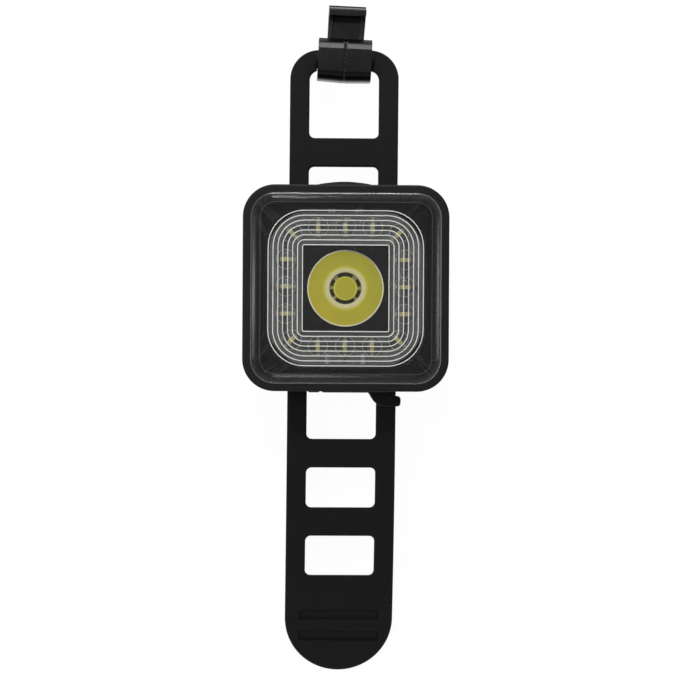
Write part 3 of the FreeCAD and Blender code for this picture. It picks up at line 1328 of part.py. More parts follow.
def usb_socket():
    """Charging socket: an oblong shell, open at the wall, with its contact tongue."""
    body = new_body("usb_socket")
    mouth = INNER - s.port_setback
    half = s.port_width / 2
    tall = s.port_height / 2
    shell = sketch_on(body, "XZ_Plane", mouth)
    low, high = (s.port_x - half, PORT_Z - tall), (s.port_x + half, PORT_Z + tall)
    add_rounded(shell, low, high, (tall - SLIVER, tall - SLIVER))
    pad(body, shell, s.port_length, reverse=True)
    cavity = sketch_on(body, "XZ_Plane", mouth)
    half, tall = half - s.port_shell, tall - s.port_shell
    low, high = (s.port_x - half, PORT_Z - tall), (s.port_x + half, PORT_Z + tall)
    add_rounded(cavity, low, high, (tall - SLIVER, tall - SLIVER))
    extrude(body, "Pocket", cavity, s.port_length - s.port_back)
    tongue = sketch_on(body, "XZ_Plane", mouth - s.port_tongue_setback)
    left, right = s.port_x - s.port_tongue_half, s.port_x + s.port_tongue_half
    under, over = PORT_Z - s.port_tongue_thick / 2, PORT_Z + s.port_tongue_thick / 2
    add_polygon(tongue, [(left, under), (right, under), (right, over), (left, over)])
    pad(body, tongue, s.port_length - s.port_tongue_setback - s.port_back / 2, reverse=True)
    return body


def screws(places, radius, head_radius, head_height, length, up=True):
    """Identical screws: a head and a shank each, heads down when up is true."""
    pieces = []
    for x, y, z in places:
        head_z = z - head_height if up else z
        shank_z = z - SLIVER if up else z - length
        head = peg(x, y, head_z, head_radius, head_height)
        shank = peg(x, y, shank_z, radius, length + SLIVER)
        pieces.append(fuse([head, shank]))
    return pieces


def fasteners():
    """Case screws, bracket screws and board screws."""
    bite = s.screw_radius - s.thread_bite
    seat = CASE_BACK + s.screw_head_height + s.head_sink
    places = [(x, y, seat) for x, y in four(POST, POST)]
    length = CASE_SPLIT - seat + s.screw_grip
    group("case_screws", screws(places, bite, s.screw_head, s.screw_head_height, length))
    seat = BRACKET_BASE + s.screw_head_height
    places = [(x, y, seat) for x, y in BRACKET_SCREWS]
    length = CASE_FLOOR - seat + BRACKET_GRIP
    group("bracket_screws", screws(places, bite, s.screw_head, s.screw_head_height, length))
    bite = s.small_screw_radius - s.thread_bite
    length = s.small_screw_length
    lower = [(x, y, LED_BOARD) for x, y in BOSSES]
    upper = [(x, y, MAIN_BOARD_TOP) for x, y in PILLARS]
    small = screws(lower, bite, s.small_screw_head, s.small_head_height, length)
    small += screws(upper, bite, s.small_screw_head, s.small_head_height, length, up=False)
    group("board_screws", small)


NODES = [
    "front_case", "rear_cover", "case_seal", "front_lens", "lens_gasket", "lens_array", "led_board",
    "ring_leds", "chip_resistors", "optic_holder", "tir_lens", "main_emitter", "emitter_board",
    "main_board", "board_link", "driver_parts", "battery", "battery_pad", "battery_plug",
    "battery_leads", "usb_socket", "switch_body", "switch_plunger", "power_button", "port_cover",
    "cover_anchor", "case_screws", "bracket_screws", "board_screws", "saddle_bracket", "saddle_pad",
    "strap", "hook",
]


def build():
    """Model every piece."""
    for make in (
        saddle_pad, saddle_bracket, strap, hook, rear_cover, front_case, case_seal, front_lens,
        lens_gasket, lens_array, led_board, ring_leds, chip_resistors, optic_holder, tir_lens,
        main_emitter, emitter_board, main_board, board_link, driver_parts, battery, battery_pad,
        battery_plug, battery_leads, usb_socket, switch_body, switch_plunger, power_button,
        port_cover, cover_anchor, fasteners,
    ):
        make()
    doc.recompute()


def check_and_write():
    """Stop on any failed object or bad solid, then write each node."""
    for thing in doc.Objects:
        if {"Invalid", "Error"} & set(thing.State):
            raise RuntimeError(f"{thing.Label}: {thing.State}")
    labelled = {thing.Label: thing for thing in doc.Objects}
    for label in NODES:
        shape = labelled[label].Shape
        if shape.isNull() or not shape.isValid() or not shape.Solids:
            raise RuntimeError(f"{label}: no valid solid")
    for label in NODES:
        labelled[label].Shape.exportStep(f"parts/{label}.step")


build()
check_and_write()
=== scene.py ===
"""Looks of a square bike light on a slotted rubber strap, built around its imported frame.

Lengths are in metres in the frame's own axes: X along the bar, Y along the strap towards the
hook, and Z the way the beam points. The photograph looks straight down on the lens.
"""

from __future__ import annotations

import json
import logging
import math
from dataclasses import dataclass, field
from enum import StrEnum
from typing import Callable, Sequence

import bmesh
import bpy
from mathutils import Matrix, Vector

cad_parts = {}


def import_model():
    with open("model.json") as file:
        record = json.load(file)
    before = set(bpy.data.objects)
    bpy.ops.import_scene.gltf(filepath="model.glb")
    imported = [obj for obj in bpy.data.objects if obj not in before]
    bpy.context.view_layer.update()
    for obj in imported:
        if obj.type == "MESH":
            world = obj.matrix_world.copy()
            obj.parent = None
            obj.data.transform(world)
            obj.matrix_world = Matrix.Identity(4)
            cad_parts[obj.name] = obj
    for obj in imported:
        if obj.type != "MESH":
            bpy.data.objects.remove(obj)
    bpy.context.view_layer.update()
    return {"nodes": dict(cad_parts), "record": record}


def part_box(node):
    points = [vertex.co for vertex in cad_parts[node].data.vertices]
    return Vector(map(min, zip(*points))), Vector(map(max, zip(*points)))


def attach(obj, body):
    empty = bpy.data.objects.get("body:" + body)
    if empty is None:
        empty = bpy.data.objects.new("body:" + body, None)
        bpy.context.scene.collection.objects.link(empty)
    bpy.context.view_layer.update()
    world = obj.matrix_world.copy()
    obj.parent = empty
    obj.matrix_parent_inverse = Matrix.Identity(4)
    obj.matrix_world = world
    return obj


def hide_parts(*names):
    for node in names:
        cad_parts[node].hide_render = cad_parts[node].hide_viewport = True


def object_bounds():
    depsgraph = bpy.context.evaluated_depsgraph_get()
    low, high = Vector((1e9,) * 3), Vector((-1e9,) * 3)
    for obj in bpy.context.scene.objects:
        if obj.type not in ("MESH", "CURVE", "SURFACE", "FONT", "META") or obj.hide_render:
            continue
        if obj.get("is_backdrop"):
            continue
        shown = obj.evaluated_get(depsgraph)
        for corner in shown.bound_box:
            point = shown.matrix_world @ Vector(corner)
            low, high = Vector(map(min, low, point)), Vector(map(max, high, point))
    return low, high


MM = 0.001
# Height of the middle of the strap's straight part, and how far it leans aside per metre along it
STRAP_MIDDLE = 18.85 * MM
STRAP_LEAN = 0.0042
# Points nearer than this are one, in metres
WELD = 1e-6
# Share of half its width at which an end is as good as round, with its last flat kept above nothing
ROUND_END = 0.99
LOG = logging.getLogger("bike_light")
Colour = tuple[float, float, float]
Point = tuple[float, float]
WHITE: Colour = (1.0, 1.0, 1.0)


class Body(StrEnum):
    """The bodies that pieces ride on."""

    LIGHT = "light"
    BUTTON = "button"
    COVER = "cover"
    HOOK = "hook"


def srgb(red: float, green: float, blue: float) -> Colour:
    """Turn a colour as a screen shows it, 0 to 255, into the linear one that shaders use.

    Args:
        red: Red, 0 to 255.
        green: Green, 0 to 255.
        blue: Blue, 0 to 255.

    Returns:
        The linear colour.
    """

    def linear(value: float) -> float:
        """Undo the screen's curve for one channel."""
        share = value / 255
        return share / 12.92 if share <= 0.04045 else ((share + 0.055) / 1.055) ** 2.4

    return linear(red), linear(green), linear(blue)


class Shade:
    """A socket of a material, so that shader maths reads as plain expressions."""

    def __init__(self, graph: "Graph", socket: bpy.types.NodeSocket) -> None:
        """Wrap an output socket of the graph."""
        self.graph = graph
        self.socket = socket

    def _maths(self, operation: str, first: object, second: object = None) -> "Shade":
        """Add the maths node of one operation.

        Args:
            operation: The node's operation.
            first: The first value, number or socket.
            second: The second one, where the operation has it.

        Returns:
            The result.
        """
        kind = "ShaderNodeVectorMath" if self.socket.type == "VECTOR" else "ShaderNodeMath"
        values = {0: first} if second is None else {0: first, 1: second}
        return self.graph.node(kind, {"operation": operation}, values)

    def __add__(self, other: object) -> "Shade":
        """Sum."""
        return self._maths("ADD", self, other)

    def __sub__(self, other: object) -> "Shade":
        """Difference."""
        return self._maths("SUBTRACT", self, other)

    def __rsub__(self, other: object) -> "Shade":
        """Difference from a number."""
        return self._maths("SUBTRACT", other, self)

    def __mul__(self, other: object) -> "Shade":
        """Product."""
        return self._maths("MULTIPLY", self, other)

    def __truediv__(self, other: object) -> "Shade":
        """Quotient."""
        return self._maths("DIVIDE", self, other)

    def __pow__(self, other: object) -> "Shade":
        """Power."""
        return self._maths("POWER", self, other)

    def __abs__(self) -> "Shade":
        """Size without its sign."""
        return self._maths("ABSOLUTE", self)

    __radd__ = __add__
    __rmul__ = __mul__

    def least(self, other: object) -> "Shade":
        """The smaller of two."""
        return self._maths("MINIMUM", self, other)

    def most(self, other: object) -> "Shade":
        """The larger of two."""
        return self._maths("MAXIMUM", self, other)

    def ramp(self, low: float, high: float) -> "Shade":
        """Rise smoothly from 0 at low to 1 at high, or fall if high is the lower one.

        Args:
            low: The value that gives 0.
            high: The value that gives 1.

        Returns:
            The mask, from 0 to 1.
        """
        settings = {"interpolation_type": "SMOOTHSTEP"}
        values = {"Value": self, "From Min": min(low, high), "From Max": max(low, high)}
        if low > high:
            values.update({"To Min": 1.0, "To Max": 0.0})
        return self.graph.node("ShaderNodeMapRange", settings, values)

    def band(self, middle: float, half: float, soft: float) -> "Shade":
        """Give 1 within half of middle and fall to 0 over soft."""
        return abs(self - middle).ramp(half + soft, half)


class Graph:
    """The nodes of one material, or of the world."""

    def __init__(self, name: str, world: bpy.types.World | None = None) -> None:
        """Start with an empty node tree.

        Args:
            name: The material's name.
            world: The world whose nodes these are, where they are no material's.
        """
        self.material = bpy.data.materials.new(name) if world is None else None
        owner = world or self.material
        owner.use_nodes = True
        self.tree = owner.node_tree
        self.tree.nodes.clear()

    def node(
        self, kind: str, settings: dict[str, object] | None = None, values: dict | None = None,
        output: int | str = 0,
    ) -> Shade:
        """Add any node.

        Args:
            kind: The node's type.
            settings: Its own settings, such as an operation.
            values: What its input sockets hold, by name or number: numbers, tuples or Shades.
            output: Which output socket to give back.

        Returns:
            That output.
        """
        node = self.tree.nodes.new(kind)
        for name, value in (settings or {}).items():
            setattr(node, name, value)
        for name, value in (values or {}).items():
            if isinstance(value, Shade):
                self.tree.links.new(value.socket, node.inputs[name])
            elif isinstance(value, tuple) and node.inputs[name].type == "RGBA" and len(value) == 3:
                node.inputs[name].default_value = (*value, 1.0)
            else:
                node.inputs[name].default_value = value
        outputs = node.outputs
        return Shade(self, outputs[output]) if outputs else None

    def place(self) -> Shade:
        """Where the shaded point is on its piece, in metres."""
        return self.node("ShaderNodeTexCoord", output="Object")

    def split(self, vector: Shade) -> tuple[Shade, Shade, Shade]:
        """The three parts of a vector."""
        node = self.node("ShaderNodeSeparateXYZ", values={0: vector}).socket.node
        return tuple(Shade(self, node.outputs[i]) for i in range(3))

    def noise(self, size: float, detail: float = 2.0, stretch: Sequence[float] | None = None) -> Shade:
        """Cloudy noise.

        Args:
            size: Size of its blobs in metres.
            detail: How many finer layers it has.
            stretch: How much denser it is along each axis, where it isn't even.

        Returns:
            Values around 0.5.
        """
        where = self.place() * stretch if stretch else self.place()
        values = {"Vector": where, "Scale": 1 / size, "Detail": detail}
        return self.node("ShaderNodeTexNoise", values=values)

    def beyond_square(self, half: float, corner: float, shift: float = 0.0) -> Shade:
        """How far the shaded point lies outside a rounded square around the axis.

        Args:
            half: Half the square's width.
            corner: Its corner radius.
            shift: How far it is moved along the strap.

        Returns:
            The distance in metres, less than zero inside.
        """
        x, y, _ = self.split(self.place())
        aside, along = ((part.most(part * -1.0) - (half - corner)).most(0.0) for part in (x, y - shift))
        return (aside * aside + along * along) ** 0.5 - corner

    def blend(self, share: Shade | float, first: object, second: object) -> Shade:
        """Mix two colours.

        Args:
            share: How much of the second one.
            first: The first colour.
            second: The second one.

        Returns:
            The mixed colour.
        """
        # The node's sockets for colours: their share, the first, the second and the result
        sockets = {0: share, 6: first, 7: second}
        sockets = {i: (*v, 1.0) if isinstance(v, tuple) and len(v) == 3 else v for i, v in sockets.items()}
        return self.node("ShaderNodeMix", {"data_type": "RGBA"}, sockets, output=2)

    def bump(self, height: Shade, depth: float) -> Shade:
        """Turn a height from 0 to 1 into relief.

        Args:
            height: The height.
            depth: The relief's depth in metres.

        Returns:
            The normal.
        """
        return self.node("ShaderNodeBump", values={"Height": height, "Distance": depth, "Strength": 1.0})

    def principled(self, **values: object) -> Shade:
        """The main shader, with each socket's name in lower case and joined by underscores."""
        titles = {name: name.replace("_", " ").title().replace("Ior", "IOR") for name in values}
        return self.node("ShaderNodeBsdfPrincipled", values={titles[name]: v for name, v in values.items()})

    def surface(self, shader: Shade) -> bpy.types.Material:
        """Use a shader as the material's surface."""
        self.node("ShaderNodeOutputMaterial", values={"Surface": shader})
        return self.material


@dataclass(frozen=True)
class Moulding:
    """Moulded plastic or rubber with fine grain, faint flow marks and dust."""

    name: str
    colour: Colour
    rough: float
    grain: float = 0.25 * MM
    grain_depth: float = 0.012 * MM
    mottle: float = 0.18
    dust: float = 0.0
    shine: float = 0.5
    flow_size: float = 6.0 * MM
    flow_rough: float = 0.12
    grain_rough: float = 0.1
    speck_size: float = 0.16 * MM
    speck_cut: tuple[float, float] = (0.74, 0.82)
    patch_size: float = 3.0 * MM
    patch_cut: tuple[float, float] = (0.5, 0.62)

    def make(self) -> bpy.types.Material:
        """Build the material.

        Returns:
            The material.
        """
        graph = Graph(self.name)
        flow = graph.noise(self.flow_size, detail=3.0)
        fine = graph.noise(self.grain, detail=2.0)
        dark = tuple(c * (1 - self.mottle) for c in self.colour)
        light = tuple(c * (1 + self.mottle) for c in self.colour)
        colour = graph.blend(flow, dark, light)
        if self.dust:
            specks = graph.noise(self.speck_size, detail=0.0).ramp(*self.speck_cut)
            patches = graph.noise(self.patch_size, detail=1.0).ramp(*self.patch_cut)
            pale = tuple(c + self.dust for c in self.colour)
            colour = graph.blend(specks * patches, colour, pale)
        steady = self.rough - (self.flow_rough + self.grain_rough) / 2
        shader = graph.principled(
            base_color=colour, roughness=flow * self.flow_rough + fine * self.grain_rough + steady,
            specular_ior_level=self.shine, normal=graph.bump(fine, self.grain_depth),
        )
        return graph.surface(shader)


@dataclass(frozen=True)
class Metal:
    """Plated or bare metal with fine brushing."""

    name: str
    colour: Colour
    rough: float = 0.3
    stroke: float = 0.5 * MM
    stroke_stretch: tuple[float, float, float] = (1.0, 12.0, 1.0)
    stroke_depth: float = 0.004 * MM
    stroke_rough: float = 0.2
    darkest: float = 0.85

    def make(self) -> bpy.types.Material:
        """Build the material.

        Returns:
            The material.
        """
        graph = Graph(self.name)
        brushed = graph.noise(self.stroke, detail=3.0, stretch=self.stroke_stretch)
        colour = graph.blend(brushed, tuple(c * self.darkest for c in self.colour), self.colour)
        steady = self.rough - self.stroke_rough / 2
        shader = graph.principled(
            base_color=colour, metallic=1.0, roughness=brushed * self.stroke_rough + steady,
            normal=graph.bump(brushed, self.stroke_depth),
        )
        return graph.surface(shader)


@dataclass(frozen=True)
class Clear:
    """Clear plastic: see-through, with a sharp reflection and a pale layer where a mask says so.

    On the lens that layer paints highlight lines and a few specks; over the lamps it is haze.
    """

    name: str
    # Mask of the pale layer: painted highlight lines on the lens, haze over the lamps
    haze_and_highlights: Callable[[Graph], Shade]
    gloss: float
    haze_and_highlight_colour: Colour = (0.6, 0.6, 0.6)
    frost_rough: tuple[float, float] = (0.4, 0.2)
    frost_grain: float = 1.5 * MM
    clearness: float = 0.97
    index: float = 1.5

    def make(self) -> bpy.types.Material:
        """Build the material.

        Returns:
            The material.
        """
        graph = Graph(self.name)
        fine = graph.noise(self.frost_grain, detail=1.0)
        through = graph.node("ShaderNodeBsdfTransparent", values={"Color": (self.clearness,) * 3})
        mirror = graph.node("ShaderNodeBsdfGlossy", values={"Color": WHITE, "Roughness": self.gloss})
        inside = graph.node("ShaderNodeNewGeometry", output="Backfacing")
        bend = self.index - inside * (self.index - 1 / self.index)
        facing = graph.node("ShaderNodeFresnel", values={"IOR": bend})
        glass = graph.node("ShaderNodeMixShader", values={0: facing, 1: through, 2: mirror})
        # The pale layer paints highlight lines on the lens and is haze over the lamps
        share = self.haze_and_highlights(graph)
        steady, spread = self.frost_rough
        haze_and_highlight_shader = graph.principled(base_color=self.haze_and_highlight_colour, roughness=fine * spread + steady)
        return graph.surface(graph.node("ShaderNodeMixShader", values={0: share, 1: glass, 2: haze_and_highlight_shader}))


@dataclass(frozen=True)
class Board:
    """Circuit board: lacquer over faint copper tracks."""

    name: str
    colour: Colour
    track_pitch: float = 3.2 * MM
    track_width: float = 0.06
    track_row: float = 0.4
    track_soft: float = 0.3
    track_depth: float = 0.03 * MM
    track_lift: float = 1.7
    cloud: float = 2.0 * MM
    lift_shares: tuple[float, float] = (0.5, 0.2)
    lacquer_rough: tuple[float, float] = (0.3, 0.15)

    def make(self) -> bpy.types.Material:
        """Build the material.

        Returns:
            The material.
        """
        graph = Graph(self.name)
        tracks = graph.node(
            "ShaderNodeTexBrick",
            values={"Vector": graph.place(), "Scale": 1 / self.track_pitch, "Mortar Size": self.track_width,
                    "Row Height": self.track_row, "Mortar Smooth": self.track_soft},
            output=1,
        )
        cloudy = graph.noise(self.cloud, detail=2.0)
        lit = tuple(c * self.track_lift for c in self.colour)
        by_track, by_cloud = self.lift_shares
        colour = graph.blend(tracks * by_track + cloudy * by_cloud, self.colour, lit)
        steady, spread = self.lacquer_rough
        shader = graph.principled(
            base_color=colour, roughness=cloudy * spread + steady, normal=graph.bump(tracks, self.track_depth)
        )
        return graph.surface(shader)


@dataclass(frozen=True)
class Lamp:
    """A rectangular lamp that hangs around the lens and looks at its middle."""

    name: str
    place: tuple[float, float, float]
    size: tuple[float, float]
    watts_per_area: float

    def hang(self, aim: Vector) -> None:
        """Put the lamp at its place, measured in metres from the point that it looks at.

        Args:
            aim: The point that it looks at, from which its place is measured.
        """
        data = bpy.data.lights.new(self.name, "AREA")
        data.shape = "RECTANGLE"
        data.size, data.size_y = self.size
        data.energy = self.watts_per_area * self.size[0] * self.size[1]
        lamp = bpy.data.objects.new(self.name, data)
        bpy.context.scene.collection.objects.link(lamp)
        lamp.location = aim + Vector(self.place)
        back = Vector(self.place).normalized()
        right = Vector((0.0, 0.0, 1.0)).cross(back).normalized()
        lamp.rotation_euler = Matrix((right, back.cross(right), back)).transposed().to_euler()


@dataclass
class Studio:
    """Camera, lamps, floor and surroundings.

    Two lamps hang overhead. A low far one makes the bright band on the hook, and small strips make
    the short lines on the lens's bevel.
    """

    frame_pixels: float = 680.0
    light_middle_px: tuple[float, float] = (345.7, 288.0)
    pixel: float = 0.2028 * MM
    distance: float = 0.620
    roll: float = 0.3
    side_step: float = -0.0196
    sensor: float = 36.0
    clip: tuple[float, float] = (0.01, 20.0)
    floor_size: float = 3.0
    floor_gap: float = 0.02 * MM
    floor_colour: Colour = (0.8, 0.8, 0.8)
    floor_glow: float = 1.03
    floor_glow_share: float = 0.93
    dome_heights: tuple[float, float] = (0.45, 0.85)
    dome_dimming: float = 0.82
    lamps: tuple[Lamp, ...] = (
        Lamp("top", (-0.08, 0.37, 0.9), (0.15, 0.15), 96.0),
        Lamp("left", (-0.37, 0.08, 0.9), (0.15, 0.15), 80.0),
        Lamp("far", (0.0, 0.85, 0.38), (0.4, 0.3), 36.0),
        Lamp("bevel_top", (-0.045, 0.62, 0.59), (0.09, 0.07), 30.0),
        Lamp("bevel_left", (-0.62, 0.01, 0.56), (0.03, 0.1), 20.0),
        Lamp("bevel_right", (0.65, 0.01, 0.54), (0.05, 0.08), 12.0),
        Lamp("bevel_low", (-0.02, -0.54, 0.67), (0.1, 0.07), 9.6),
    )

    def build(self) -> None:
        """Set up everything that isn't the light itself."""
        low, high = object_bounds()
        self._camera(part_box("front_case")[1].z)
        self._floor(low.z)
        self._world()
        for lamp in self.lamps:
            lamp.hang(Vector((0.0, 0.0, high.z)))
        bpy.context.scene.view_settings.view_transform = "Standard"

    def _camera(self, rim: float) -> None:
        """Look straight down on the lens, as the photograph does.

        Args:
            rim: Height of the case's front, which is in the picture's scale.
        """
        data = bpy.data.cameras.new("camera")
        data.sensor_width = self.sensor
        field_width = self.frame_pixels * self.pixel
        data.lens = self.sensor * self.distance / field_width
        data.clip_start, data.clip_end = self.clip
        camera = bpy.data.objects.new("camera", data)
        bpy.context.scene.collection.objects.link(camera)
        centre = self.frame_pixels / 2
        aim = Vector((
            (centre - self.light_middle_px[0]) * self.pixel,
            -(centre - self.light_middle_px[1]) * self.pixel,
            rim,
        ))
        camera.location = Vector((self.side_step, aim.y, rim + self.distance))
        back = (camera.location - aim).normalized()
        right = Vector((0.0, 1.0, 0.0)).cross(back).normalized()
        level = Matrix((right, back.cross(right), back)).transposed()
        camera.rotation_euler = (level @ Matrix.Rotation(math.radians(self.roll), 3, "Z")).to_euler()
        bpy.context.scene.camera = camera

    def _seen(self, graph: Graph) -> Shade:
        """1 where the camera, a mirror or clear plastic looks, and 0 for light on the object.

        Args:
            graph: The floor's graph.

        Returns:
            The mask, 0 or 1.
        """
        path = graph.node("ShaderNodeLightPath").socket.node
        camera, glossy, through = (
            Shade(graph, path.outputs[name])
            for name in ("Is Camera Ray", "Is Glossy Ray", "Is Transmission Ray")
        )
        return camera.most(glossy).most(through)

    def _floor(self, height: float) -> None:
        """A white floor just under the light's lowest point.

        Args:
            height: Height of the lowest point.
        """
        height -= self.floor_gap
        mesh = bpy.data.meshes.new("floor")
        half = self.floor_size / 2
        corners = [(-half, -half, height), (half, -half, height), (half, half, height), (-half, half, height)]
        mesh.from_pydata(corners, [], [(0, 1, 2, 3)])
        floor = bpy.data.objects.new("floor", mesh)
        bpy.context.scene.collection.objects.link(floor)
        graph = Graph("floor_white")
        matt = graph.node("ShaderNodeBsdfDiffuse", values={"Color": self.floor_colour})
        glow = graph.node("ShaderNodeEmission", values={"Color": WHITE, "Strength": self.floor_glow})
        share = self._seen(graph) * self.floor_glow_share
        white = graph.node("ShaderNodeMixShader", values={0: share, 1: matt, 2: glow})
        mesh.materials.append(graph.surface(white))
        floor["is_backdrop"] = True

    def _world(self) -> None:
        """White surroundings for the eye, and a dim dome of light for the object."""
        world = bpy.data.worlds.new("studio")
        bpy.context.scene.world = world
        graph = Graph("studio", world)
        path = graph.node("ShaderNodeLightPath", output="Is Camera Ray")
        way = graph.node("ShaderNodeTexCoord", output="Generated")
        height = graph.split(way)[2]
        dome = 1.0 - height.ramp(*self.dome_heights) * self.dome_dimming
        back = graph.node("ShaderNodeBackground", values={"Color": WHITE, "Strength": dome.most(path)})
        graph.node("ShaderNodeOutputWorld", values={"Surface": back})


@dataclass(frozen=True)
class PaintedOpticLight:
    """Main optic: clear plastic, its colour painted light: the yellow lamp under it as a painted reflection
    in rings, with painted highlights in its pale rings and on its rim, and painted shade in its well.

    Each pair of radii is where a ring starts and where it is full.
    """

    name: str
    reach: float = 8.0 * MM
    cloud: float = 2.6 * MM
    grain: float = 0.35 * MM
    grain_cut: tuple[float, float] = (0.35, 0.65)
    grain_share: float = 0.35
    grain_depth: float = 0.006 * MM
    # Painted reflection: the lamp's yellow runs from warm to green across the optic and with the cloud
    lean: tuple[float, float, float] = (0.35, 1.5, -0.25)
    # Painted highlights: a brighter outer ring and a pale ring round the well
    outer_highlight_from: tuple[float, float] = (4.9 * MM, 4.1 * MM)
    outer_highlight_share: float = 0.55
    pale_highlight_from: tuple[float, float] = (4.45 * MM, 3.85 * MM)
    # Painted shade in the well, and a painted highlight line round the small disc
    well_from: tuple[float, float] = (3.3 * MM, 3.15 * MM)
    disc_from: tuple[float, float] = (2.5 * MM, 2.42 * MM)
    disc_highlight_line: tuple[float, float, float] = (2.28 * MM, 0.1 * MM, 0.16 * MM)
    # Painted highlight on the rim's lower and left sides, painted shade on the rest of it
    rim_from: tuple[float, float] = (7.5 * MM, 7.64 * MM)
    rim_lit_low: tuple[float, float, float] = (0.8, -1.0, 0.25)
    rim_lit_left: tuple[float, float, float] = (-1.1, 0.1, -0.2)
    rim_lit_cut: tuple[float, float] = (-0.5, 0.7)
    # Painted light in the gaps between the well's arcs of painted shade
    lit_gap_share: float = 0.5
    gap_soft: float = 3.0
    rough: tuple[float, float] = (0.38, 0.14)
    shine: float = 0.12
    # Colours of painted light: the lamp's yellow seen in the optic, its highlights, and the shade in the well
    # and on the rim
    olive: Colour = (0.42, 0.38, 0.034)
    warm: Colour = (0.455, 0.38, 0.032)
    green: Colour = (0.37, 0.355, 0.034)
    pale: Colour = (0.6, 0.55, 0.3)
    bright: Colour = (0.6, 0.58, 0.06)
    dark: Colour = (0.02, 0.015, 0.01)
    rim: Colour = (0.8, 0.76, 0.58)
    rim_shade: Colour = (0.3, 0.26, 0.27)
    # Painted light gaps in the well: middle and half width in degrees
    gaps: tuple[Point, ...] = (
        (0.5, 6.5), (49.0, 10.0), (133.0, 10.0), (177.0, 6.5), (221.0, 5.5), (315.0, 4.5),
    )

    def make(self) -> bpy.types.Material:
        """Build the material.

        Returns:
            The material.
        """
        graph = Graph(self.name)
        x, y, _ = graph.split(graph.place())
        radius = (x * x + y * y) ** 0.5
        cloudy = graph.noise(self.cloud, detail=3.0)
        fine = graph.noise(self.grain, detail=2.0)
        across = x / self.reach
        along = y / self.reach
        by_place, by_cloud, shift = self.lean
        lean = (across * by_place + along * by_place + cloudy * by_cloud + shift).least(1.0).most(0.0)
        # Painted reflection of the lamp: warm to green, olive grain, then the brighter and the pale painted
        # highlight rings
        glow = graph.blend(lean, self.warm, self.green)
        glow = graph.blend(fine.ramp(*self.grain_cut) * self.grain_share, glow, self.olive)
        glow = graph.blend(radius.ramp(*self.outer_highlight_from) * self.outer_highlight_share, glow, self.bright)
        glow = graph.blend(radius.ramp(*self.pale_highlight_from), glow, self.pale)
        disc = graph.blend(radius.band(*self.disc_highlight_line), self.olive, self.bright)
        # Painted shade in the well, then the disc with its painted highlight line
        colour = graph.blend(radius.ramp(*self.well_from), glow, self._painted_well(graph, x, y, radius))
        colour = graph.blend(radius.ramp(*self.disc_from), colour, disc)
        # Painted highlight on the rim's lower and left sides, painted shade on the rest
        low, left = (
            across * by_x + along * by_y + start for by_x, by_y, start in (self.rim_lit_low, self.rim_lit_left)
        )
        edge = graph.blend(low.most(left).ramp(*self.rim_lit_cut), self.rim_shade, self.rim)
        colour = graph.blend(radius.ramp(*self.rim_from), colour, edge)
        steady, spread = self.rough
        shader = graph.principled(
            base_color=colour, roughness=fine * spread + steady, specular_ior_level=self.shine,
            normal=graph.bump(fine, self.grain_depth),
        )
        return graph.surface(shader)

    def _painted_well(self, graph: Graph, x: Shade, y: Shade, radius: Shade) -> Shade:
        """The bottom of the well: six arcs of painted shade with painted light gaps between them.

        Args:
            graph: The material's graph.
            x: Place along the bar.
            y: Place along the strap.
            radius: Distance from the axis.

        Returns:
            The well's colour.
        """
        open_share = None
        for middle, half in self.gaps:
            turn = math.radians(middle)
            facing = (x * math.cos(turn) + y * math.sin(turn)) / radius
            ends = (math.cos(math.radians(half + side * self.gap_soft)) for side in (1, -1))
            gap = facing.ramp(*ends)
            open_share = gap if open_share is None else open_share.most(gap)
        return graph.blend(open_share * self.lit_gap_share, self.dark, self.pale)


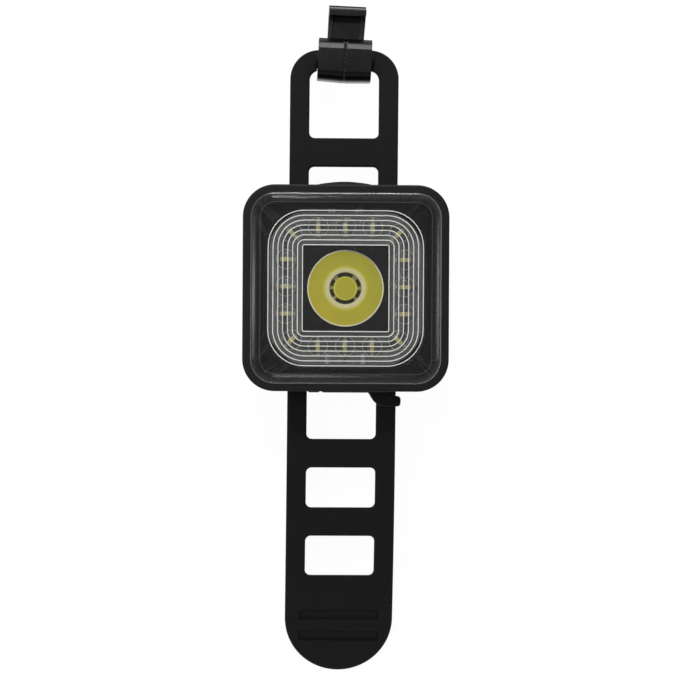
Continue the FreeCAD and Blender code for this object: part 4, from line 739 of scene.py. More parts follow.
@dataclass
class Dressing:
    """Puts each finish on the nodes that the frame shows as they are."""

    finishes: dict[str, bpy.types.Material] = field(default_factory=dict)
    special: dict[str, str] = field(default_factory=lambda: {"lens_array": "array_clear"})

    def prepare(self) -> None:
        """Make the finishes."""
        made = [
            Moulding("black_case", srgb(18, 18, 19), 0.42, dust=0.02, shine=0.14),
            Moulding("hook_plastic", srgb(9, 9, 9), 0.27, grain_depth=0.002 * MM, shine=0.21),
            Moulding("strap_rubber", srgb(18, 18, 18), 0.62, grain=0.18 * MM, dust=0.02, shine=0.12),
            Moulding("saddle_rubber", srgb(16, 16, 16), 0.7, shine=0.1),
            Moulding("button_rubber", srgb(17, 17, 17), 0.6, shine=0.12),
            Moulding("cover_rubber", srgb(16, 16, 16), 0.6, shine=0.12),
            Moulding("seal_rubber", srgb(36, 36, 37), 0.7, shine=0.1),
            # The lens's pale lines are painted highlights
            Clear("clear_lens", gloss=0.12, haze_and_highlights=Lens.haze_and_highlights, haze_and_highlight_colour=(0.68, 0.69, 0.66)),
            Clear("array_clear", gloss=0.28, haze_and_highlights=LampRing.haze_and_highlights),
            # The optic's colour is painted light: the lamp's reflection, highlights and shade
            PaintedOpticLight("clear_optic"),
            Board("board_black", srgb(24, 24, 25)),
            Board("board_green", srgb(20, 62, 38)),
            Moulding("lamp_white", srgb(46, 46, 42), 0.4),
            # Pale ends of the packages, also the colour of the painted glints over the beads
            Moulding("lamp_pale_and_glint", srgb(172, 170, 140), 0.4, mottle=0.1),
            Moulding("lamp_yellow", srgb(212, 203, 108), 0.4, mottle=0.1),
            # Painted highlight rings at the beads' feet
            Moulding("bead_foot_highlight", srgb(136, 136, 130), 0.3, mottle=0.25),
            Moulding("chip", srgb(150, 147, 138), 0.4),
            Moulding("chip_ends", srgb(190, 187, 176), 0.35, mottle=0.1),
            Moulding("black_nylon", srgb(30, 30, 30), 0.5),
            Moulding("white_nylon", srgb(200, 198, 190), 0.5),
            Moulding("holder_black", srgb(16, 16, 15), 0.5, mottle=0.1, shine=0.08),
            Metal("alloy", (0.75, 0.75, 0.76)),
            Metal("cell_foil", (0.7, 0.7, 0.7), 0.4),
            Moulding("foam", srgb(60, 60, 62), 0.9),
            Moulding("lead_red", srgb(150, 30, 26), 0.4),
            Metal("socket_steel", (0.6, 0.6, 0.61)),
            Metal("screw_steel", (0.55, 0.55, 0.56)),
        ]
        self.finishes = {finish.name: finish.make() for finish in made}

    def dress(self, nodes: dict[str, bpy.types.Object], record: dict) -> None:
        """Give every frame node the finish of its slot.

        Args:
            nodes: The frame's node objects by name.
            record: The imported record.
        """
        slots = {row["node"]: row["material_slot"] for row in record["subparts"]}
        for name, piece in nodes.items():
            finish = self.special.get(name, slots[name])
            piece.data.materials.clear()
            piece.data.materials.append(self.finishes[finish])
            LOG.info("dressed %s with %s", name, finish)


def arc(centre: Sequence[float], radius: float, start: float, end: float, steps: int) -> list[Point]:
    """Points along a flat arc.

    Args:
        centre: Its centre.
        radius: Its radius.
        start: First angle in degrees.
        end: Last angle in degrees.
        steps: How many pieces it has.

    Returns:
        The points, both ends included.
    """
    angles = [math.radians(start + (end - start) * i / steps) for i in range(steps + 1)]
    return [(centre[0] + radius * math.cos(a), centre[1] + radius * math.sin(a)) for a in angles]


def circle(centre: Sequence[float], radius: float, steps: int) -> list[Point]:
    """Points around a whole circle, one for each step."""
    return arc(centre, radius, 0.0, 360.0 - 360.0 / steps, steps - 1)


def rounded(
    low: Sequence[float], high: Sequence[float], radii: Sequence[float], steps: int = 8
) -> list[Point]:
    """A rectangle with rounded corners.

    Args:
        low: Its lower left corner.
        high: Its upper right corner.
        radii: Radius of the lower and of the upper corners.
        steps: How many pieces each corner has.

    Returns:
        Its points, counter-clockwise.
    """
    below, above = radii
    corners = (
        ((low[0] + below, low[1] + below), below, 180.0),
        ((high[0] - below, low[1] + below), below, 270.0),
        ((high[0] - above, high[1] - above), above, 0.0),
        ((low[0] + above, high[1] - above), above, 90.0),
    )
    points = []
    for centre, radius, start in corners:
        points += arc(centre, radius, start, start + 90.0, steps)
    return points


@dataclass
class Workshop:
    """Turns shapes into pieces that ride on a body and have a finish."""

    finishes: dict[str, bpy.types.Material]

    def piece(
        self, name: str, bm: bmesh.types.BMesh, slot: str, body: Body, stands_for: Sequence[str] = (),
        crease: float = 35.0, finish: str | None = None,
    ) -> None:
        """Finish a worked mesh and place it.

        Args:
            name: The piece's name.
            bm: Its worked mesh, in the frame's axes, which is freed.
            slot: The record's material slot.
            body: The body that it moves with.
            stands_for: CAD nodes that it replaces.
            crease: Edges sharper than this many degrees stay sharp.
            finish: Its finish, where that isn't the slot's own.
        """
        mesh = self._finish_mesh(bm, name)
        obj = bpy.data.objects.new(name, mesh)
        bpy.context.scene.collection.objects.link(obj)
        mesh.materials.append(self.finishes[finish or slot])
        mesh.shade_smooth()
        mesh.set_sharp_from_angle(angle=math.radians(crease))
        self._even_flats(obj)
        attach(obj, body)
        if stands_for:
            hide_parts(*stands_for)
        LOG.info("built %s with %d faces", name, len(obj.data.polygons))

    @staticmethod
    def _even_flats(obj: bpy.types.Object) -> None:
        """Let the large faces decide the shading, so that flats look flat beside small rounds.

        Args:
            obj: The piece, which gets a new mesh.
        """
        weigh = obj.modifiers.new("weigh", "WEIGHTED_NORMAL")
        weigh.keep_sharp = True
        shaded = bpy.data.meshes.new_from_object(obj.evaluated_get(bpy.context.evaluated_depsgraph_get()))
        shaded.name = obj.name
        obj.modifiers.remove(weigh)
        obj.data = shaded

    @staticmethod
    def sheet(outlines: Sequence[list[Point]], thick: float, edge: float, steps: int = 2) -> bpy.types.Mesh:
        """A flat plate with holes and rounded edges, its middle at height 0.

        Args:
            outlines: The outer outline and the holes.
            thick: Its whole thickness.
            edge: Radius of its edges.
            steps: How many pieces each edge's round has.

        Returns:
            The mesh.
        """
        curve = bpy.data.curves.new("outline", "CURVE")
        curve.dimensions = "2D"
        curve.fill_mode = "BOTH"
        curve.extrude = thick / 2 - edge
        curve.bevel_depth = edge
        curve.bevel_resolution = steps
        curve.offset = -edge
        for points in outlines:
            spline = curve.splines.new("POLY")
            spline.points.add(len(points) - 1)
            for point, (x, y) in zip(spline.points, points):
                point.co = (x, y, 0.0, 1.0)
            spline.use_cyclic_u = True
        carrier = bpy.data.objects.new("outline", curve)
        mesh = bpy.data.meshes.new_from_object(carrier)
        bpy.data.objects.remove(carrier)
        bpy.data.curves.remove(curve)
        return mesh

    @staticmethod
    def prism(bm: bmesh.types.BMesh, profile: Sequence[Point], left: float, right: float) -> None:
        """Add a solid that has one side profile across the light.

        Args:
            bm: Where to add it.
            profile: Its outline along Y and Z, counter-clockwise seen from +X.
            left: Where it starts along X.
            right: Where it ends.
        """
        ends = [[bm.verts.new((x, y, z)) for y, z in profile] for x in (left, right)]
        bm.faces.new(reversed(ends[0]))
        bm.faces.new(ends[1])
        count = len(profile)
        for i in range(count):
            after = (i + 1) % count
            bm.faces.new((ends[0][i], ends[0][after], ends[1][after], ends[1][i]))

    @staticmethod
    def loft(bm: bmesh.types.BMesh, rings: Sequence[Sequence[Vector]]) -> None:
        """Add a closed solid through rings of as many points each.

        Args:
            bm: Where to add it.
            rings: The rings in order; the first and the last are closed with a face.
        """
        loops = [[bm.verts.new(point) for point in ring] for ring in rings]
        for near, far in zip(loops, loops[1:]):
            for i in range(len(near)):
                after = (i + 1) % len(near)
                bm.faces.new((near[i], near[after], far[after], far[i]))
        bm.faces.new(reversed(loops[0]))
        bm.faces.new(loops[-1])

    @staticmethod
    def hoop(bm: bmesh.types.BMesh, rings: Sequence[Sequence[Vector]]) -> None:
        """Add a closed hoop through rings of as many points each, the last one joined to the first.

        Args:
            bm: Where to add it.
            rings: The rings in order.
        """
        loops = [[bm.verts.new(point) for point in ring] for ring in rings]
        for near, far in zip(loops, loops[1:] + loops[:1]):
            for i in range(len(near)):
                after = (i + 1) % len(near)
                bm.faces.new((near[i], near[after], far[after], far[i]))

    @staticmethod
    def soften(bm: bmesh.types.BMesh, width: float, sharper: float = 30.0, steps: int = 2) -> None:
        """Round every edge that is sharper than an angle.

        Args:
            bm: The mesh to work on.
            width: Width of the rounds.
            sharper: Least angle between two faces, in degrees.
            steps: How many pieces each round has.
        """
        limit = math.radians(sharper)
        edges = [e for e in bm.edges if e.is_manifold and e.calc_face_angle() > limit]
        bmesh.ops.bevel(
            bm, geom=edges, offset=width, offset_type="OFFSET", segments=steps, profile=0.5,
            affect="EDGES", clamp_overlap=True,
        )

    @staticmethod
    def _finish_mesh(bm: bmesh.types.BMesh, name: str) -> bpy.types.Mesh:
        """Turn the worked mesh into a datablock.

        Args:
            bm: The worked mesh, which is freed.
            name: The datablock's name.

        Returns:
            The datablock.
        """
        bmesh.ops.recalc_face_normals(bm, faces=bm.faces)
        mesh = bpy.data.meshes.new(name)
        bm.to_mesh(mesh)
        bm.free()
        return mesh


@dataclass
class Strap:
    """Rubber ladder strap: two rails, webs between its slots, grip bars on its drooping tail."""

    half: float = 11.4 * MM
    thick: float = 2.4 * MM
    head: float = 50.4 * MM
    tail: float = 81.0 * MM
    head_round: float = 6.1 * MM
    slot_half: float = 7.3 * MM
    slot_round: float = 1.15 * MM
    loop_round: float = 2.0 * MM
    loop_bar: float = 3.9 * MM
    loop_drop: float = 0.4 * MM
    loop_length: float = 14.2 * MM
    web: float = 6.0 * MM
    slot_length: float = 8.5 * MM
    long_start: float = 17.4 * MM
    long_length: float = 14.0 * MM
    gap_half: float = 5.72 * MM
    gap_lean: float = 0.042
    edge: float = 0.35 * MM
    straight: float = 22.0 * MM
    grips: tuple[float, ...] = (67.8 * MM, 72.4 * MM)
    grip_half: float = 8.55 * MM
    grip_length: float = 2.15 * MM
    grip_depth: float = 0.5 * MM
    grip_slope: float = 0.3 * MM
    bar_overlap: float = 0.5 * MM
    bar_steps: int = 24
    step: float = 2.0 * MM

    def build(self, shop: Workshop) -> None:
        """Make the strap.

        Args:
            shop: What makes the pieces.
        """
        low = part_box("strap")[0]
        base = STRAP_MIDDLE - self.thick / 2
        mesh = shop.sheet(self._outlines(), self.thick, self.edge)
        bm = bmesh.new()
        bm.from_mesh(mesh)
        bmesh.ops.remove_doubles(bm, verts=bm.verts, dist=WELD)
        self._cut_grips(bm)
        for vert in bm.verts:
            vert.co.z += base + self.thick / 2
        self._droop(bm, base, base - low.z)
        self._add_bar(bm, base + self.thick / 2)
        for vert in bm.verts:
            vert.co.x += vert.co.y * STRAP_LEAN
        shop.piece("ladder_strap", bm, "strap_rubber", Body.LIGHT, ["strap"])

    def _outlines(self) -> list[list[Point]]:
        """The outer outline with its open loop for the hook, and the closed slots.

        Returns:
            The outlines, the outer one first.
        """
        outer = arc((0.0, -self.tail + self.half), self.half, 180.0, 360.0, steps=48)
        outer += self._loop()
        upper = self._loop_end() - self.web
        spans = [(upper - self.slot_length, upper)]
        low = -self.long_start - self.long_length
        spans.append((low, -self.long_start))
        for _ in range(2):
            high = low - self.web
            low = high - self.slot_length
            spans.append((low, high))
        wide = self.slot_half
        radii = (self.slot_round, self.slot_round)
        return [outer] + [rounded((-wide, a), (wide, b), radii) for a, b in spans]

    def _loop_end(self) -> float:
        """Where the loop ends towards the case."""
        return self.head - self.loop_bar - self.loop_drop - self.loop_length

    def _loop(self) -> list[Point]:
        """The outline's hook end: shoulder, gap for the round bar, loop, gap and other shoulder.

        Returns:
            Its points, from the right shoulder to the left one.
        """
        wide = self.slot_half
        notch = self.head - self.loop_bar - self.loop_drop
        base = self._loop_end()
        middle = self.half - self.head_round
        rise = math.sqrt(self.head_round ** 2 - (self.gap_half - middle) ** 2)
        top = self.head - self.head_round + rise
        high_gap = self.gap_lean * self.loop_bar / 2
        low_gap = -self.gap_lean * (self.loop_bar / 2 + self.loop_drop)
        shoulder = arc((middle, self.head - self.head_round), self.head_round, 0.0, 90.0, steps=20)
        shoulder = [point for point in shoulder if point[0] > self.gap_half + high_gap]
        corner = arc((wide - self.loop_round, notch - self.loop_round), self.loop_round, 90.0, 0.0, steps=8)
        line = list(shoulder)
        line += [(self.gap_half + high_gap, top), (self.gap_half + low_gap, notch)]
        line += [point for point in corner if point[0] > self.gap_half + low_gap]
        line += arc((wide - self.slot_round, base + self.slot_round), self.slot_round, 0.0, -90.0, steps=6)
        line += arc((-wide + self.slot_round, base + self.slot_round), self.slot_round, 270.0, 180.0, steps=6)
        line += [(-x, y) for x, y in reversed(corner) if x > self.gap_half - low_gap]
        line += [(-self.gap_half + low_gap, notch), (-self.gap_half + high_gap, top)]
        line += [(-x, y) for x, y in reversed(shoulder)]
        return line

    def _cut_grips(self, bm: bmesh.types.BMesh) -> None:
        """Cut the mesh across, so that it can bend, and sink the grip bars.

        Args:
            bm: The flat strap.
        """
        places = [-self.tail + self.step * i for i in range(1, int((self.tail - self.straight) / self.step))]
        for near in self.grips:
            far = near + self.grip_length
            places += [-near, -near - self.grip_slope, -far, -far + self.grip_slope]
        self._slice(bm, (0.0, 1.0, 0.0), places)
        sides = [self.grip_half, self.grip_half - self.grip_slope]
        self._slice(bm, (1.0, 0.0, 0.0), sides + [-x for x in sides])
        for vert in bm.verts:
            if vert.co.z < self.thick / 2 - WELD:
                continue
            for near in self.grips:
                across = self.grip_half - abs(vert.co.x)
                along = min(-near - vert.co.y, vert.co.y + near + self.grip_length)
                share = min(across, along) / self.grip_slope
                vert.co.z -= self.grip_depth * max(0.0, min(1.0, share))

    @staticmethod
    def _slice(bm: bmesh.types.BMesh, normal: Sequence[float], places: Sequence[float]) -> None:
        """Cut the mesh along planes.

        Args:
            bm: The flat strap.
            normal: The planes' direction.
            places: How far along it they lie.
        """
        for place in places:
            point = Vector(normal) * place
            geometry = bm.verts[:] + bm.edges[:] + bm.faces[:]
            bmesh.ops.bisect_plane(bm, geom=geometry, dist=WELD / 10, plane_co=point, plane_no=normal)

    def _droop(self, bm: bmesh.types.BMesh, base: float, fall: float) -> None:
        """Let the tail sag along one arc.

        Args:
            bm: The strap.
            base: Height of its lower face.
            fall: How far the tail's end sinks.
        """
        reach = self.tail - self.straight
        radius = (reach * reach + fall * fall) / (fall * 2)
        centre = base - radius
        for vert in bm.verts:
            run = -self.straight - vert.co.y
            if run > 0:
                level = vert.co.z - centre
                vert.co.z = centre + math.sqrt(level * level - run * run)

    def _add_bar(self, bm: bmesh.types.BMesh, middle: float) -> None:
        """Add the round bar that the hook turns on.

        Args:
            bm: Where to add it.
            middle: Height of its axis.
        """
        radius = self.loop_bar / 2
        pivot = self.head - radius
        profile = [(pivot + y, middle + z) for y, z in circle((0.0, 0.0), radius, self.bar_steps)]
        reach = self.gap_half + self.bar_overlap
        Workshop.prism(bm, profile, -reach, reach)


@dataclass
class Hook:
    """Plastic hook: a ring on the strap's bar and a tongue between two ribs, with a lip at its tip."""

    ring_half: float = 5.6 * MM
    front: float = 4.3 * MM
    back: float = 4.8 * MM
    half_height: float = 3.3 * MM
    tongue_half: float = 3.8 * MM
    tongue_aside: float = 0.17 * MM
    tongue_flare: float = 0.03
    tongue_length: float = 7.2 * MM
    tongue_thick: float = 1.6 * MM
    root: float = 2.6 * MM
    lip_length: float = 1.9 * MM
    lip_height: float = 5.4 * MM
    lip_toe: tuple[float, float] = (0.1 * MM, 0.5 * MM)
    lip_nose: tuple[float, float] = (0.2 * MM, 0.15 * MM)
    lip_beak: float = 0.5 * MM
    lip_drops: tuple[float, float] = (0.8 * MM, 1.9 * MM)
    rib_thick: float = 0.9 * MM
    rib_height: float = 3.0 * MM
    rib_past: float = 0.3 * MM
    rib_dip: tuple[float, float] = (1.1 * MM, 0.25 * MM)
    ring_rounds: tuple[float, float] = (0.9 * MM, 2.2 * MM)
    bore: float = 2.03 * MM
    edge: float = 0.22 * MM
    lip_slant: float = 0.95 * MM
    facet_from: float = 2.25 * MM
    facet_to: float = 0.85 * MM
    facet_fall: float = 0.59
    vee: float = 0.25 * MM
    seam: float = 0.12 * MM
    seam_sides: tuple[float, ...] = (0.18 * MM, 0.22 * MM, 0.5 * MM)
    turn: float = math.radians(2.4)

    def build(self, shop: Workshop, pivot: Vector) -> None:
        """Make the hook about its pivot.

        Args:
            shop: What makes the pieces.
            pivot: The middle of the strap's round bar.
        """
        under = pivot.z - self.half_height
        front = pivot.y + self.front
        tip = front + self.tongue_length
        throat = tip - self.lip_length
        bm = bmesh.new()
        self._add_ring(bm, pivot)
        back = pivot.y + self.root
        upper = under + self.tongue_thick
        plate = [(back, under), (tip, under), (tip, upper), (back, upper)]
        shop.prism(bm, plate, -self.tongue_half, self.tongue_half)
        shop.prism(bm, self._lip(tip, throat, under), -self.tongue_half, self.tongue_half)
        end, crest = throat + self.rib_past, under + self.rib_height
        dip_in, dip_down = self.rib_dip
        rib = [(back, under), (end, under), (end, crest), (throat - dip_in, crest - dip_down), (back, crest)]
        for side in (1, -1):
            inner = self.tongue_half - self.rib_thick
            left, right = sorted((self.tongue_half * side, inner * side))
            shop.prism(bm, rib, left, right)
        bmesh.ops.recalc_face_normals(bm, faces=bm.faces)
        shop.soften(bm, self.edge)
        spin = Matrix.Rotation(-self.turn, 3, "Z")
        for vert in bm.verts:
            out = (vert.co.y - front) / self.tongue_length
            if out > 0:
                vert.co.x += vert.co.x * self.tongue_flare * out + self.tongue_aside
            vert.co = spin @ (vert.co - pivot) + pivot
            vert.co.x += pivot.y * STRAP_LEAN
        shop.piece("strap_hook", bm, "hook_plastic", Body.HOOK, ["hook"])

    def _lip(self, tip: float, throat: float, under: float) -> list[Point]:
        """Side profile of the lip that catches on the strap's webs.

        Args:
            tip: The tongue's end along the strap.
            throat: The side of the lip that faces the ring.
            under: Height of the tongue's lower face.

        Returns:
            Its points along Y and Z.
        """
        crest = under + self.lip_height
        beak = throat - self.lip_beak
        nose = tip - self.lip_slant
        toe_in, toe_up = self.lip_toe
        nose_in, nose_down = self.lip_nose
        beak_drop, throat_drop = self.lip_drops
        return [
            (throat, under), (tip - toe_in, under), (tip, under + toe_up), (nose, crest - nose_down),
            (nose - nose_in, crest), (beak, crest), (beak, crest - beak_drop), (throat, crest - throat_drop),
        ]

    def _facets(self, y: float) -> float:
        """Height of the two sloping faces in front of the ring, over a place along the strap."""
        long = max(0.0, y - (self.front - self.facet_from)) * self.facet_fall
        return self.half_height - long - max(0.0, y - self.front + self.facet_to)

    def _add_ring(self, bm: bmesh.types.BMesh, pivot: Vector) -> None:
        """Add the ring, with the bore for the strap's bar, a seam and a slightly pointed back edge.

        Args:
            bm: Where to add it.
            pivot: The middle of the strap's round bar.
        """
        top = self.half_height
        outer = rounded((-self.back, -top), (self.front, top), self.ring_rounds, steps=7)
        outer = [(y, min(z, self._facets(y))) for y, z in outer]
        half = self.ring_half
        count = len(outer)
        shells, holes = [], []
        beside = (*self.seam_sides, half)
        sections = [(-x, 0.0) for x in reversed(beside)] + [(0.0, self.seam)] + [(x, 0.0) for x in beside]
        for x, seam in sections:
            shell, hole = [], []
            for y, z in outer:
                size = math.hypot(y, z)
                share = 1.0 - seam / size
                near = y * share + self.vee * max(0.0, -y / self.back) * abs(x) / half
                shell.append(bm.verts.new((x, pivot.y + near, pivot.z + z * share)))
                hole.append(bm.verts.new((x, pivot.y + y / size * self.bore, pivot.z + z / size * self.bore)))
            shells.append(shell)
            holes.append(hole)
        for i in range(count):
            j = (i + 1) % count
            for left, right in zip(shells, shells[1:]):
                bm.faces.new((left[j], left[i], right[i], right[j]))
            for left, right in zip(holes, holes[1:]):
                bm.faces.new((left[i], left[j], right[j], right[i]))
            bm.faces.new((shells[0][i], shells[0][j], holes[0][j], holes[0][i]))
            bm.faces.new((shells[-1][j], shells[-1][i], holes[-1][i], holes[-1][j]))


def square_ring(half: float, corner: float, height: float, steps: int = 10) -> list[Vector]:
    """A level rounded square around the light's axis.

    Args:
        half: Half its width.
        corner: Its corner radius.
        height: Its height.
        steps: How many pieces each corner has.

    Returns:
        Its points.
    """
    outline = rounded((-half, -half), (half, half), (corner, corner), steps)
    return [Vector((x, y, height)) for x, y in outline]


def wall_ring(
    middle: Sequence[float], half: Sequence[float], corner: float, y: float, steps: int = 6
) -> list[Vector]:
    """An upright rounded rectangle that faces along the strap.

    Args:
        middle: Its middle along the bar and its height.
        half: Half its length and half its height.
        corner: Its corner radius.
        y: Where it stands along the strap.
        steps: How many pieces each corner has.

    Returns:
        Its points.
    """
    low = (middle[0] - half[0], middle[1] - half[1])
    high = (middle[0] + half[0], middle[1] + half[1])
    return [Vector((x, y, z)) for x, z in rounded(low, high, (corner, corner), steps)]


@dataclass
class Lens:
    """Clear front: flat, with a crowned bevel around it and eight grooves in its back."""

    half: float = 19.45 * MM
    corner: float = 5.05 * MM
    bevel: float = 2.0 * MM
    edge: float = 0.2 * MM
    slopes: tuple[float, float] = (16.0, 26.0)
    window: float = 8.82 * MM
    window_corner: float = 0.36 * MM
    pitch: float = 1.0 * MM
    lines: int = 8
    line_half: float = 0.095 * MM
    line_depth: float = 0.25 * MM
    steps: int = 10
    slope_steps: int = 8
    round_edge: tuple[Point, ...] = ((0.3, 0.5), (0.0, 1.4))
    # Painted highlight lines on the grooves' floors, on the bevel's crest and along the outer edge
    groove_highlight_band: tuple[float, float] = (0.1 * MM, 0.03 * MM)
    crest_highlight_band: tuple[float, float] = (0.05 * MM, 0.05 * MM)
    crest_highlight_share: float = 0.06
    edge_highlight_ramp: tuple[float, float] = (-0.24 * MM, -0.1 * MM)
    edge_highlight_share: float = 0.16
    speck_size: float = 0.22 * MM
    speck_cut: tuple[float, float] = (0.78, 0.84)
    speck_share: float = 0.25

    def build(self, shop: Workshop) -> None:
        """Make the lens.

        Args:
            shop: What makes the pieces.
        """
        low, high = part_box("front_lens")
        rings = self._underside(low.z) + self._side(low.z, high.z)
        bm = bmesh.new()
        shop.loft(bm, rings)
        shop.piece("bevelled_lens", bm, "clear_lens", Body.LIGHT, ["front_lens"], crease=12.0)

    def _underside(self, base: float) -> list[list[Vector]]:
        """The back with its grooves, from the middle outwards.

        Args:
            base: Height of the back.

        Returns:
            The rings.
        """
        rings = []
        for i in range(self.lines):
            half = self.window + self.pitch * i
            corner = self.window_corner + self.pitch * i
            for step, level in ((-1, 0), (-1, 1), (1, 1), (1, 0)):
                aside = step * self.line_half
                height = base + level * self.line_depth
                rings.append(square_ring(half + aside, corner + aside, height, self.steps))
        return rings

    def _side(self, base: float, top: float) -> list[list[Vector]]:
        """The upright side, the bevel and the front, from the bottom up.

        Args:
            base: Height of the back.
            top: Height of the front.

        Returns:
            The rings.
        """
        shape = [(self.bevel, 0.0)]
        drop = 0.0
        run = (self.bevel - self.edge) / self.slope_steps
        first, last = self.slopes
        for i in range(self.slope_steps):
            drop += run * math.tan(math.radians(first + (last - first) * (i + 0.5) / self.slope_steps))
            shape.append((self.bevel - run * (i + 1), drop))
        shape += [(self.edge * inwards, drop + self.edge * down) for inwards, down in self.round_edge]
        rings = [square_ring(self.half, self.corner, base, self.steps)]
        for inset, fall in reversed(shape):
            rings.append(square_ring(self.half - inset, self.corner - inset, top - fall, self.steps))
        return rings

    @classmethod
    def haze_and_highlights(cls, graph: Graph) -> Shade:
        """Where the lens gets its pale layer: painted highlight lines and a few specks.

        Args:
            graph: The material's graph.

        Returns:
            The mask: painted highlights on groove floors, edge and bevel crest, and a few specks.
        """
        height = graph.split(graph.place())[2]
        # Painted highlights on the grooves' floors, the bevel's crest and the outer edge, and specks besides
        floor = height.band(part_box("front_lens")[0].z + cls.line_depth, *cls.groove_highlight_band)
        outward = graph.beyond_square(cls.half, cls.corner)
        crest = outward.band(-cls.bevel, *cls.crest_highlight_band) * cls.crest_highlight_share
        edge = outward.ramp(*cls.edge_highlight_ramp) * cls.edge_highlight_share
        specks = graph.noise(cls.speck_size, detail=0.0).ramp(*cls.speck_cut) * cls.speck_share
        return floor.most(crest).most(edge).most(specks)


@dataclass
class Optic:
    """Main optic: a solid cone with a rim, a shallow front and a well with a small lens at its bottom.

    The cone's points are radius and height over the bottom in millimetres, and the front's are
    radius and depth under the top.
    """

    cone: tuple[Point, ...] = ((0.9, 2.4), (1.9, 1.9), (2.0, 0.0), (2.7, 0.0), (5.7, 3.1), (7.1, 6.8))
    front: tuple[Point, ...] = (
        (7.87, 1.1), (7.87, 0.14), (7.82, 0.05), (7.72, 0.0), (7.6, 0.03), (7.48, 0.08), (6.3, 0.12),
        (5.1, 0.11), (4.4, 0.08), (4.05, 0.06), (3.5, 0.06), (3.3, 0.12), (3.24, 0.6), (3.22, 0.9),
        (2.46, 0.9), (2.4, 0.84), (2.2, 0.79), (1.75, 0.77), (1.1, 0.76), (0.4, 0.755),
    )
    steps: int = 72

    def build(self, shop: Workshop) -> None:
        """Make the optic.

        Args:
            shop: What makes the pieces.
        """
        low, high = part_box("tir_lens")
        profile = [(r * MM, low.z + z * MM) for r, z in self.cone]
        profile += [(r * MM, high.z - z * MM) for r, z in self.front]
        rings = [
            [Vector((x, y, z)) for x, y in circle((0.0, 0.0), r, self.steps)] for r, z in profile
        ]
        bm = bmesh.new()
        shop.loft(bm, rings)
        shop.piece("main_optic", bm, "clear_optic", Body.LIGHT, ["tir_lens"], crease=50.0)


